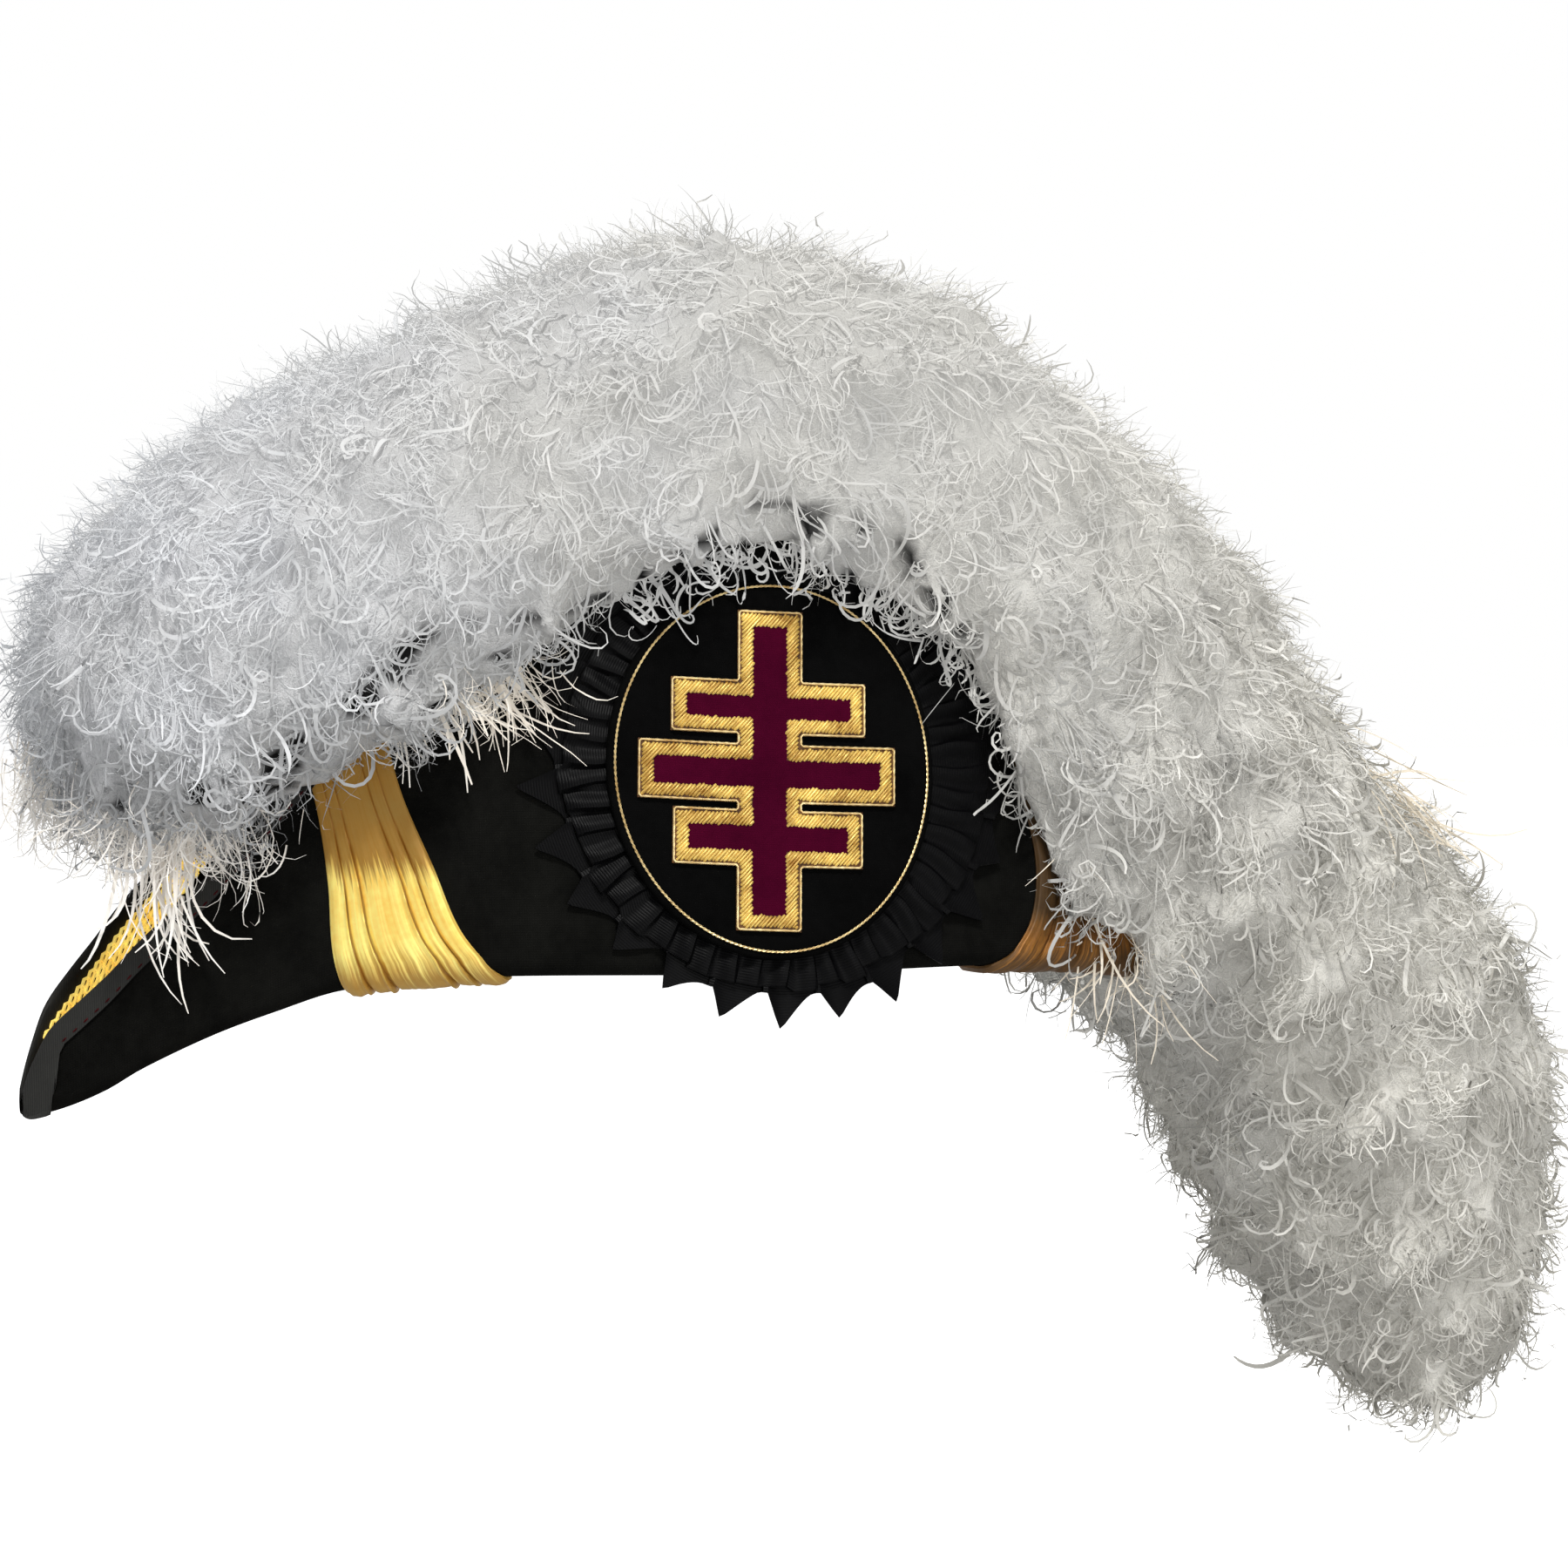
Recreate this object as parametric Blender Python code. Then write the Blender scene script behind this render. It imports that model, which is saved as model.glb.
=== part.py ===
"""Plumed dress hat, worn fore and aft: an oval skull between two tall turned-up sides that meet in
drooping peaks, trimmed with ribbon, a pleated rosette with an embroidered patch, and a long plume.

Metres, +Z up. The front peak points to -X and the hat's left side faces -Y. The origin is the
centre of the head opening, in the plane of its rim.
"""

import math
import random
from typing import NamedTuple

import bmesh
import bpy
from mathutils import Vector

# Overall form of the two turned-up sides
HALF_LENGTH = 0.212
HALF_WIDTH = 0.092
TIP_HALF_WIDTH = 0.0045
PLAN_POWER = 0.9
SIDE_HEIGHT = 0.148
PEAK_DROP = 0.046
LEAN = 0.16
MOST_LEAN = 0.5
CLOTH = 0.0022
TIP_CLOTH_SHARE = 0.3
FOLD_RADIUS = 0.005
FOLD_RADIUS_SHARE = 0.4

# Clearances
GAP = 0.0003
FACET_GAP = 0.0012
RING_GAP = 0.0006
SEAM = 0.0004

# Skull
HEAD_HALF_LENGTH = 0.100
HEAD_HALF_WIDTH = 0.081
CROWN_WALL = 0.002
CROWN_HEIGHT = 0.108
CROWN_CORNERS = 32

# Trimming along the top edge
BINDING_WIDTH = 0.0065
BINDING_CLOTH = 0.0008
BINDING_END_SHARE = 0.55
LACE_WIDTH = 0.007
LACE_CLOTH = 0.001
LACE_REACH = 0.96

# Gold bands across the sides
BAND_CLOTH = 0.001
BAND_GAP = 0.0006
BAND_WRAP = 0.012
BAND_CREASE = 0.0004
BAND_STRIPS = 6
BAND_ROWS = 5
BAND_PASSES = 4

# Rosette and patch on the left side: their centres, the oval patch's half sizes along the hat and up
# the side, and the round rosette's radii
ROSETTE_X = 0.004
ROSETTE_UP = 0.0645
PATCH_X = 0.0008
PATCH_UP = 0.0635
PATCH_HALF_LENGTH = 0.050
PATCH_HALF_HEIGHT = 0.0565
PATCH_CLOTH = 0.002
PATCH_EDGE_FALL = 0.0006
PATCH_EDGE_ROUND = 0.0012
PATCH_CORNERS = 32
POINTS_CLOTH = 0.0012
POINTS_COUNT = 26
POINTS_VALLEY = 0.068
POINTS_TIP = 0.0775
POINTS_UNEVEN = 0.0025
POINTS_FLARE = 0.0016
POINTS_SLANT = 0.3
PLEAT_COUNT = 52
PLEAT_DEPTH = 0.0018
PLEAT_BASE = 0.0009
PLEAT_RADIUS = 0.0655
PLEAT_EDGE_AT = 0.8
PLEAT_INNER_SHARE = 0.5
RING_INNER_RADIUS = 0.043
CORD_RADIUS = 0.0007
CORD_INSET = 0.0022
CORD_CORNERS = 36

# Triple-bar cross: half widths along the hat, and heights from the patch's centre
CROSS_ARM = 0.010
CROSS_TOP = 0.048
CROSS_BOTTOM = -0.0497
CROSS_BORDER = 0.0049
CROSS_BORDER_CLOTH = 0.0012
CROSS_FILL_CLOTH = 0.0008
CROSS_BEND_STEP = 0.014

# Plume: its body, the locks in its skin and the longer tufts
CREST_SQUARE = 2.2
RIB_STEP = 0.05
ENVELOPE_GAP = 0.0024
PLUME_GAP = 0.0002
PLUME_INSET = 0.008
LOCK_ROWS = 5
LOCK_RISE = 0.0075
LOCK_VALLEY = 0.0012
LOCK_ROOT_AT = 0.25
LOCK_TIP_AT = 0.72
LOCK_SHIFT = 0.5
LOCK_UNEVEN = 0.3
LOCK_SLANT = 0.3
TUFT_REACH = math.radians(30.0)
TUFT_WIDTH_SHARE = 0.52
TUFT_RISE = 0.010
TUFT_SINK = 0.007
TUFT_CURL = 0.006
TUFT_START = 0.45
TUFT_UNEVEN = 0.15
ROSETTE_ROOM = 0.0012
SEED = 7
SMOOTH_ANGLE = math.radians(35.0)


class At(NamedTuple):
    """One row of a curve: a share of the hat's half length, and the value there."""

    share: float
    value: float


# How far the fold drops towards a peak, as a share of PEAK_DROP
FOLD_DROP = (
    At(0.00, 0.00),
    At(0.42, 0.00),
    At(0.58, 0.09),
    At(0.67, 0.24),
    At(0.75, 0.40),
    At(0.84, 0.63),
    At(0.89, 0.79),
    At(0.95, 0.93),
    At(1.00, 1.00),
)

# Height of the top edge over the fold, as a share of SIDE_HEIGHT
EDGE_RISE = (
    At(0.00, 1.000),
    At(0.19, 0.932),
    At(0.38, 0.757),
    At(0.52, 0.588),
    At(0.66, 0.412),
    At(0.75, 0.311),
    At(0.86, 0.233),
    At(0.92, 0.192),
    At(0.96, 0.155),
    At(0.98, 0.105),
    At(1.00, 0.045),
)

# Stations of a peak, from the head opening to the tip, as shares of HALF_LENGTH
PEAK_STATIONS = (0.54, 0.61, 0.68, 0.75, 0.82, 0.88, 0.925, 0.96, 0.98, 1.0)


class CrownRing(NamedTuple):
    """One level of the skull: its height, and its half length and half width at that height."""

    height: float
    length: float
    width: float


# Shares of CROWN_HEIGHT, and of the skull's outer half sizes at the rim
CROWN_RINGS = (
    CrownRing(0.00, 1.00, 1.00),
    CrownRing(0.34, 0.985, 0.955),
    CrownRing(0.62, 0.93, 0.885),
    CrownRing(0.80, 0.83, 0.78),
    CrownRing(0.93, 0.60, 0.56),
    CrownRing(0.99, 0.30, 0.28),
)


class BandRow(NamedTuple):
    """One level of a gold band: height over the fold, and its inner and outer edge."""

    height: float
    inner: float
    outer: float


# Heights as shares of SIDE_HEIGHT, edges as shares of HALF_LENGTH
FRONT_BAND = (
    BandRow(-0.10, 0.345, 0.555),
    BandRow(0.00, 0.362, 0.572),
    BandRow(0.05, 0.398, 0.590),
    BandRow(0.12, 0.432, 0.598),
    BandRow(0.24, 0.462, 0.600),
    BandRow(0.40, 0.502, 0.612),
    BandRow(0.60, 0.530, 0.640),
)
REAR_BAND = (
    BandRow(-0.10, 0.300, 0.570),
    BandRow(0.00, 0.318, 0.582),
    BandRow(0.05, 0.365, 0.585),
    BandRow(0.12, 0.398, 0.570),
    BandRow(0.24, 0.408, 0.558),
    BandRow(0.40, 0.385, 0.530),
    BandRow(0.80, 0.345, 0.480),
)


class CrossBar(NamedTuple):
    """One bar of the cross: its half length, and its lowest and highest edge."""

    half: float
    low: float
    high: float


# Half lengths as shares of PATCH_HALF_LENGTH, edges as shares of PATCH_HALF_HEIGHT
CROSS_BARS = (
    CrossBar(0.604, 0.177, 0.487),
    CrossBar(0.796, -0.177, 0.147),
    CrossBar(0.592, -0.533, -0.207),
)


class Rib(NamedTuple):
    """One section of the plume: the point on its outer side, the one on its inner side, its half
    width across the hat, and how square its lower half is."""

    outer_x: float
    outer_z: float
    inner_x: float
    inner_z: float
    half_width: float
    square: float


# x as shares of HALF_LENGTH, z as shares of SIDE_HEIGHT, half widths as shares of HALF_WIDTH
PLUME_RIBS = (
    Rib(-0.985, 0.60, -0.960, 0.38, 0.36, 2.2),
    Rib(-0.975, 0.78, -0.900, 0.25, 0.60, 2.4),
    Rib(-0.900, 0.92, -0.810, 0.19, 0.76, 2.8),
    Rib(-0.760, 1.12, -0.680, 0.24, 0.88, 3.4),
    Rib(-0.600, 1.25, -0.535, 0.34, 0.97, 4.2),
    Rib(-0.440, 1.34, -0.405, 0.46, 1.03, 4.8),
    Rib(-0.285, 1.45, -0.275, 0.60, 1.06, 5.0),
    Rib(-0.130, 1.52, -0.120, 0.72, 1.07, 5.0),
    Rib(0.030, 1.54, 0.020, 0.73, 1.07, 5.0),
    Rib(0.210, 1.50, 0.150, 0.64, 1.07, 5.0),
    Rib(0.400, 1.38, 0.280, 0.50, 1.07, 5.0),
    Rib(0.580, 1.19, 0.350, 0.28, 1.06, 5.0),
    Rib(0.755, 0.99, 0.400, 0.04, 1.04, 4.6),
    Rib(0.905, 0.70, 0.500, -0.06, 0.97, 4.0),
    Rib(1.050, 0.41, 0.610, -0.16, 0.88, 3.2),
    Rib(1.215, 0.18, 0.685, -0.27, 0.79, 2.6),
    Rib(1.325, -0.08, 0.725, -0.43, 0.72, 2.3),
    Rib(1.375, -0.37, 0.780, -0.60, 0.66, 2.2),
    Rib(1.365, -0.64, 0.870, -0.79, 0.58, 2.2),
    Rib(1.325, -0.87, 0.975, -0.96, 0.47, 2.2),
    Rib(1.240, -1.06, 1.095, -1.07, 0.27, 2.2),
)


class Feather(NamedTuple):
    """One length of the plume: its name, and its first and last rib."""

    name: str
    first: int
    last: int


FEATHERS = (
    Feather("plume_front", 0, 5),
    Feather("plume_crest", 5, 10),
    Feather("plume_fall", 10, 14),
    Feather("plume_tail", 14, 20),
)


class Tufts(NamedTuple):
    """The longer tufts of one length of the plume: how many a side, and their turn from the crest."""

    count: int
    turn: float


TUFTS = {
    "plume_front": Tufts(3, math.radians(104.0)),
    "plume_crest": Tufts(4, math.radians(96.0)),
    "plume_fall": Tufts(3, math.radians(112.0)),
    "plume_tail": Tufts(4, math.radians(88.0)),
}


class TuftStep(NamedTuple):
    """One section of a tuft: how far along it lies, and its share of the width and of the rise."""

    along: float
    broad: float
    rise: float


TUFT_STEPS = (
    TuftStep(0.00, 0.7, 0.35),
    TuftStep(0.35, 1.0, 1.00),
    TuftStep(0.75, 0.7, 0.90),
)


class Finish(NamedTuple):
    """One material: its name, colour, roughness and how metallic it is."""

    name: str
    colour: tuple
    roughness: float
    metallic: float


BLACK_CLOTH = Finish("black_cloth", (0.012, 0.011, 0.012), 0.85, 0.0)
BLACK_RIBBON = Finish("black_ribbon", (0.016, 0.014, 0.015), 0.6, 0.0)
GOLD_RIBBON = Finish("gold_ribbon", (0.72, 0.45, 0.09), 0.32, 0.6)
GOLD_LACE = Finish("gold_lace", (0.74, 0.50, 0.14), 0.35, 0.8)
GOLD_THREAD = Finish("gold_thread", (0.75, 0.50, 0.15), 0.4, 0.5)
MAROON_CLOTH = Finish("maroon_cloth", (0.085, 0.006, 0.035), 0.8, 0.0)
WHITE_FEATHER = Finish("white_feather", (0.74, 0.73, 0.71), 0.8, 0.0)


def clear_scene():
    """Removes the objects and meshes that the scene starts with."""
    for obj in list(bpy.data.objects):
        bpy.data.objects.remove(obj, do_unlink=True)


def make_material(finish):
    """A Principled material."""
    material = bpy.data.materials.new(finish.name)
    material.use_nodes = True
    shader = material.node_tree.nodes["Principled BSDF"]
    shader.inputs["Base Color"].default_value = (*finish.colour, 1.0)
    shader.inputs["Roughness"].default_value = finish.roughness
    shader.inputs["Metallic"].default_value = finish.metallic
    material.diffuse_color = (*finish.colour, 1.0)
    return material


def read(rows, share):
    """The value of a curve at a share, on a smooth line through its rows."""
    if share <= rows[0].share:
        return rows[0].value
    if share >= rows[-1].share:
        return rows[-1].value
    index = max(number for number, row in enumerate(rows) if row.share < share)
    low, high = rows[index], rows[index + 1]
    before, after = rows[max(index - 1, 0)], rows[min(index + 2, len(rows) - 1)]
    span = high.share - low.share
    slope_in = (high.value - before.value) / (high.share - before.share) * span
    slope_out = (after.value - low.value) / (after.share - low.share) * span
    t = (share - low.share) / span
    return (
        low.value * (2 * t**3 - 3 * t**2 + 1)
        + slope_in * (t**3 - 2 * t**2 + t)
        + high.value * (3 * t**2 - 2 * t**3)
        + slope_out * (t**3 - t**2)
    )


def along_rows(rows, position):
    """The fields of a table at a fractional row number, on smooth lines through its rows."""
    last = len(rows) - 1
    index = min(int(position), last - 1)
    t = position - index
    a, b = rows[max(index - 1, 0)], rows[index]
    c, d = rows[index + 1], rows[min(index + 2, last)]
    return type(rows[0])(
        *(
            b[k]
            + 0.5 * t * (c[k] - a[k])
            + t**2 * (a[k] - 2.5 * b[k] + 2.0 * c[k] - 0.5 * d[k])
            + t**3 * (1.5 * (b[k] - c[k]) + 0.5 * (d[k] - a[k]))
            for k in range(len(b))
        )
    )


class Section(NamedTuple):
    """The outer face of a side at one station, in the plane across the hat: the fold's centre and
    radius, the turn at which the wall leaves it, the lengths of arc and of the whole path, and how
    thick the cloth is."""

    centre_y: float
    centre_z: float
    radius: float
    turn: float
    arc: float
    length: float
    cloth: float


def section_at(x):
    """The section of a side at a station along the hat."""
    share = min(abs(x) / HALF_LENGTH, 1.0)
    out = TIP_HALF_WIDTH + (HALF_WIDTH - TIP_HALF_WIDTH) * (1.0 - share**2) ** PLAN_POWER
    low = -PEAK_DROP * read(FOLD_DROP, share)
    rise = SIDE_HEIGHT * read(EDGE_RISE, share)
    lean = min(LEAN * rise, MOST_LEAN * out)
    radius = min(FOLD_RADIUS, FOLD_RADIUS_SHARE * out)
    to_top = Vector((radius - lean, rise - radius))
    turn = math.atan2(to_top.y, to_top.x) - math.acos(radius / to_top.length)
    arc = radius * (turn + math.pi / 2)
    wall = math.sqrt(to_top.length_squared - radius**2)
    cloth = min(CLOTH, TIP_CLOTH_SHARE * out)
    return Section(out - radius, low + radius, radius, turn, arc, arc + wall, cloth)


def wall_point(x, along, off, hand):
    """A point on the wall's straight line, also below where the fold turns in. hand is -1 on the
    left side and 1 on the right."""
    at = section_at(x)
    reach = at.radius + off
    past = along - at.arc
    y = at.centre_y + reach * math.cos(at.turn) - past * math.sin(at.turn)
    z = at.centre_z + reach * math.sin(at.turn) + past * math.cos(at.turn)
    return Vector((x, hand * y, z))


def side_point(x, along, off, hand):
    """A point on a side: along is the path's length from the lowest point of the fold, up the wall
    or, where it is negative, inwards under the hat. off is the distance outside the cloth."""
    at = section_at(x)
    if along >= at.arc:
        return wall_point(x, along, off, hand)
    if along <= 0.0:
        return Vector((x, hand * (at.centre_y + along), at.centre_z - at.radius - off))
    angle = along / at.radius - math.pi / 2
    reach = at.radius + off
    y = at.centre_y + reach * math.cos(angle)
    return Vector((x, hand * y, at.centre_z + reach * math.sin(angle)))


def crown_half_length():
    return HEAD_HALF_LENGTH + CROWN_WALL


def crown_half_width():
    return HEAD_HALF_WIDTH + CROWN_WALL


def stations():
    """Stations of the sides, rear to front. Those beside the head opening are at its corners."""
    opening = crown_half_length() + GAP
    half = CROWN_CORNERS // 2
    middle = [opening * math.cos(math.pi * k / half) for k in range(half + 1)]
    peak = [share * HALF_LENGTH for share in PEAK_STATIONS]
    return [*reversed(peak), *middle, *(-x for x in peak)]


def floor_end(x):
    """How far in a side's floor reaches: to the skull, or to the seam under a peak."""
    opening = crown_half_length() + GAP
    within = max(1.0 - (x / opening) ** 2, 0.0)
    return max((crown_half_width() + GAP) * math.sqrt(within), SEAM / 2)


def add_object(name, mesh, material):
    """Links a mesh as an object, its round parts shaded smooth."""
    obj = bpy.data.objects.new(name, mesh)
    bpy.context.scene.collection.objects.link(obj)
    mesh.materials.append(material)
    mesh.shade_smooth()
    mesh.set_sharp_from_angle(angle=SMOOTH_ANGLE)
    return obj


def mesh_from(name, vertices, faces):
    """A mesh whose faces point out of the closed shape that they make."""
    mesh = bpy.data.meshes.new(name)
    mesh.from_pydata([tuple(v) for v in vertices], [], faces)
    shape = bmesh.new()
    shape.from_mesh(mesh)
    bmesh.ops.recalc_face_normals(shape, faces=shape.faces)
    if shape.calc_volume(signed=True) < 0.0:
        bmesh.ops.reverse_faces(shape, faces=shape.faces)
    shape.to_mesh(mesh)
    shape.free()
    return mesh


def thick_sheet(name, front, back, material):
    """A sheet between two grids of points that match, closed along its four edges."""
    rows, columns = len(front), len(front[0])
    vertices = [point for grid in (front, back) for row in grid for point in row]

    def index(layer, row, column):
        return (layer * rows + row) * columns + column

    faces = []
    for layer in (0, 1):
        for r in range(rows - 1):
            for c in range(columns - 1):
                corners = ((r, c), (r + 1, c), (r + 1, c + 1), (r, c + 1))
                faces.append([index(layer, *corner) for corner in corners])
    border = [(r, 0) for r in range(rows)]
    border += [(rows - 1, c) for c in range(1, columns)]
    border += [(r, columns - 1) for r in range(rows - 2, -1, -1)]
    border += [(0, c) for c in range(columns - 2, 0, -1)]
    for here, there in zip(border, border[1:] + border[:1]):
        faces.append([index(0, *here), index(0, *there), index(1, *there), index(1, *here)])
    return add_object(name, mesh_from(name, vertices, faces), material)


def ring_sheet(name, front, back, material):
    """A ring between two grids of points, each a list of rings from the inner to the outer."""
    rings, corners = len(front), len(front[0])
    vertices = [point for grid in (front, back) for ring in grid for point in ring]

    def index(layer, ring, corner):
        return (layer * rings + ring) * corners + corner % corners

    faces = []
    for c in range(corners):
        for layer in (0, 1):
            for r in range(rings - 1):
                faces.append(
                    [
                        index(layer, r, c),
                        index(layer, r, c + 1),
                        index(layer, r + 1, c + 1),
                        index(layer, r + 1, c),
                    ]
                )
        for r in (0, rings - 1):
            faces.append([index(0, r, c), index(0, r, c + 1), index(1, r, c + 1), index(1, r, c)])
    return add_object(name, mesh_from(name, vertices, faces), material)


def loop_walls(loops):
    """The faces between loops of points, each loop's numbers following the one before."""
    corners = len(loops[0])
    faces = []
    for ring in range(len(loops) - 1):
        for c in range(corners):
            after = (c + 1) % corners
            low, high = ring * corners, (ring + 1) * corners
            faces.append([low + c, low + after, high + after, high + c])
    return faces


def lofted(name, loops, material):
    """A closed body through loops of points, with flat ends."""
    corners = len(loops[0])
    vertices = [point for loop in loops for point in loop]
    faces = loop_walls(loops)
    faces.append(list(range(corners)))
    faces.append([len(vertices) - corners + c for c in range(corners)])
    return add_object(name, mesh_from(name, vertices, faces), material)


def round_body(name, place, levels, material):
    """A closed round or oval body over the left side. place gives a point from a turn and the two
    sizes of a level. Its ends are strips up the side, so they bend as the wall does."""
    half = PATCH_CORNERS // 2
    turns = [math.tau * c / PATCH_CORNERS for c in range(PATCH_CORNERS)]
    loops = [[place(turn, size, off) for turn in turns] for size, off in levels]
    vertices = [point for loop in loops for point in loop]
    faces = loop_walls(loops)
    for start in (0, len(vertices) - PATCH_CORNERS):
        for c in range(half):
            strip = (c, c + 1, PATCH_CORNERS - c - 1, (PATCH_CORNERS - c) % PATCH_CORNERS)
            faces.append([start + corner for corner in dict.fromkeys(strip)])
    return add_object(name, mesh_from(name, vertices, faces), material)


def as_cutter(obj):
    """Hides a helper from renders and shows it as wires."""
    obj.hide_render = True
    obj.display_type = "WIRE"
    return obj


def add_boolean(obj, operation, other):
    """Cuts another object from this one, or joins a collection of objects to it."""
    modifier = obj.modifiers.new(operation.title(), "BOOLEAN")
    modifier.operation = operation
    modifier.solver = "EXACT"
    if isinstance(other, bpy.types.Collection):
        modifier.operand_type = "COLLECTION"
        modifier.collection = other
    else:
        modifier.object = other


def make_crown(material):
    """The skull: an oval dome of one thickness, open below."""
    shape = bmesh.new()
    rings = []
    for ring in CROWN_RINGS:
        points = []
        for corner in range(CROWN_CORNERS):
            turn = math.tau * corner / CROWN_CORNERS
            x = crown_half_length() * ring.length * math.cos(turn)
            y = crown_half_width() * ring.width * math.sin(turn)
            points.append(shape.verts.new((x, y, CROWN_HEIGHT * ring.height)))
        rings.append(points)
    for low, high in zip(rings, rings[1:]):
        for c in range(CROWN_CORNERS):
            after = (c + 1) % CROWN_CORNERS
            shape.faces.new((low[c], low[after], high[after], high[c]))
    top = shape.verts.new((0.0, 0.0, CROWN_HEIGHT))
    for c in range(CROWN_CORNERS):
        shape.faces.new((rings[-1][c], rings[-1][(c + 1) % CROWN_CORNERS], top))
    mesh = bpy.data.meshes.new("crown")
    shape.to_mesh(mesh)
    shape.free()
    obj = add_object("crown", mesh, material)
    wall = obj.modifiers.new("Wall", "SOLIDIFY")
    wall.thickness = CROWN_WALL
    wall.offset = -1.0
    return obj


def side_path(x):
    """Path lengths at which a side's section has its points, from the top edge to the floor's end."""
    at = section_at(x)
    floor = at.centre_y - floor_end(x)
    return [at.length, (at.length + at.arc) / 2, at.arc, at.arc / 2, 0.0, -floor]


def make_side(name, hand, material):
    """One turned-up side, with its fold, its floor and its half of both peaks."""
    outer, inner = [], []
    for x in stations():
        path = side_path(x)
        cloth = section_at(x).cloth
        outer.append([side_point(x, along, 0.0, hand) for along in path])
        inner.append([side_point(x, along, -cloth, hand) for along in path])
    return thick_sheet(name, outer, inner, material)


def make_binding(name, hand, material):
    """Ribbon folded over a side's top edge, from tip to tip."""
    front, back = [], []
    for x in stations():
        at = section_at(x)
        leg = min(BINDING_WIDTH, BINDING_END_SHARE * (at.length - at.arc))
        near, far = GAP, GAP + BINDING_CLOTH
        low, crest = at.length - leg, at.length
        inside = -at.cloth
        front.append(
            [
                side_point(x, low, far, hand),
                side_point(x, crest + far, far, hand),
                side_point(x, crest + far, inside - far, hand),
                side_point(x, low, inside - far, hand),
            ]
        )
        back.append(
            [
                side_point(x, low, near, hand),
                side_point(x, crest + near, near, hand),
                side_point(x, crest + near, inside - near, hand),
                side_point(x, low, inside - near, hand),
            ]
        )
    return thick_sheet(name, front, back, material)


def make_lace(name, hand, material):
    """Gold lace inside a side, under the binding's edge."""
    front, back = [], []
    for x in stations():
        if abs(x) > LACE_REACH * HALF_LENGTH:
            continue
        at = section_at(x)
        high = at.length - BINDING_WIDTH - GAP
        low = high - LACE_WIDTH
        near, far = -at.cloth - GAP, -at.cloth - GAP - LACE_CLOTH
        front.append([side_point(x, along, far, hand) for along in (low, high)])
        back.append([side_point(x, along, near, hand) for along in (low, high)])
    return thick_sheet(name, front, back, material)


def band_path(x):
    """Path lengths at which a band has its points at one station, from under the hat upwards."""
    at = section_at(x)
    top = at.length - BINDING_WIDTH - FACET_GAP
    wall = [at.arc + (top - at.arc) * row / BAND_ROWS for row in range(BAND_ROWS + 1)]
    return [-BAND_WRAP, 0.0, at.arc / 2, *wall]


def make_band(name, rows, end, hand, material):
    """Creased gold ribbon up a side and under its fold. end is -1 at the front and 1 behind."""
    inner_edge = [At(row.height, row.inner) for row in rows]
    outer_edge = [At(row.height, row.outer) for row in rows]

    def place(across, level):
        """Where a strip of the band crosses one level of its path."""
        share = read(inner_edge, 0.0)
        for _ in range(BAND_PASSES):
            x = end * share * HALF_LENGTH
            along = band_path(x)[level]
            height = along / SIDE_HEIGHT
            share = read(inner_edge, height) * (1 - across) + read(outer_edge, height) * across
        return x, along

    front, back = [], []
    for strip in range(BAND_STRIPS + 1):
        crease = BAND_CREASE * (strip % 2)
        line = [place(strip / BAND_STRIPS, level) for level in range(len(band_path(0.0)))]
        off = BAND_GAP + BAND_CLOTH + crease
        front.append([side_point(x, along, off, hand) for x, along in line])
        back.append([side_point(x, along, BAND_GAP + crease, hand) for x, along in line])
    return thick_sheet(name, front, back, material)


def rosette_point(turn, radius, off):
    """A point over the left side at a turn round the rosette's centre. radius is measured over the
    wall, and off is the distance out from it."""
    x = ROSETTE_X + radius * math.cos(turn)
    return wall_point(x, ROSETTE_UP + radius * math.sin(turn), off, -1)


def patch_point(turn, inset, off):
    """A point over the left side at a turn round the oval patch, an inset inside its edge."""
    x = PATCH_X + (PATCH_HALF_LENGTH - inset) * math.cos(turn)
    along = PATCH_UP + (PATCH_HALF_HEIGHT - inset) * math.sin(turn)
    return wall_point(x, along, off, -1)


def pleats_base():
    """Distance from the wall to the back of the pleats."""
    return GAP + POINTS_CLOTH + RING_GAP


def patch_base():
    """Distance from the wall to the back of the patch."""
    return pleats_base() + PLEAT_BASE + PLEAT_DEPTH + GAP


def patch_face():
    """Distance from the wall to the face of the patch."""
    return patch_base() + PATCH_CLOTH


def make_rosette_points(material):
    """The rosette's outer ring: a flat ring of ribbon that runs out into pointed tabs."""
    draw = random.Random(SEED)
    front = [[], [], []]
    back = [[], [], []]
    for tab in range(POINTS_COUNT):
        for is_tip in (False, True):
            turn = math.tau * (tab + (POINTS_SLANT if is_tip else 0.0)) / POINTS_COUNT
            uneven = draw.uniform(-POINTS_UNEVEN, POINTS_UNEVEN)
            radius = (POINTS_TIP if is_tip else POINTS_VALLEY) + uneven
            lift = GAP + (POINTS_FLARE if is_tip else POINTS_FLARE / 2)
            levels = ((RING_INNER_RADIUS, GAP), (PLEAT_RADIUS, GAP), (radius, lift))
            for ring, (distance, off) in enumerate(levels):
                back[ring].append(rosette_point(turn, distance, off))
                front[ring].append(rosette_point(turn, distance, off + POINTS_CLOTH))
    return ring_sheet("rosette_points", front, back, material)


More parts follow.
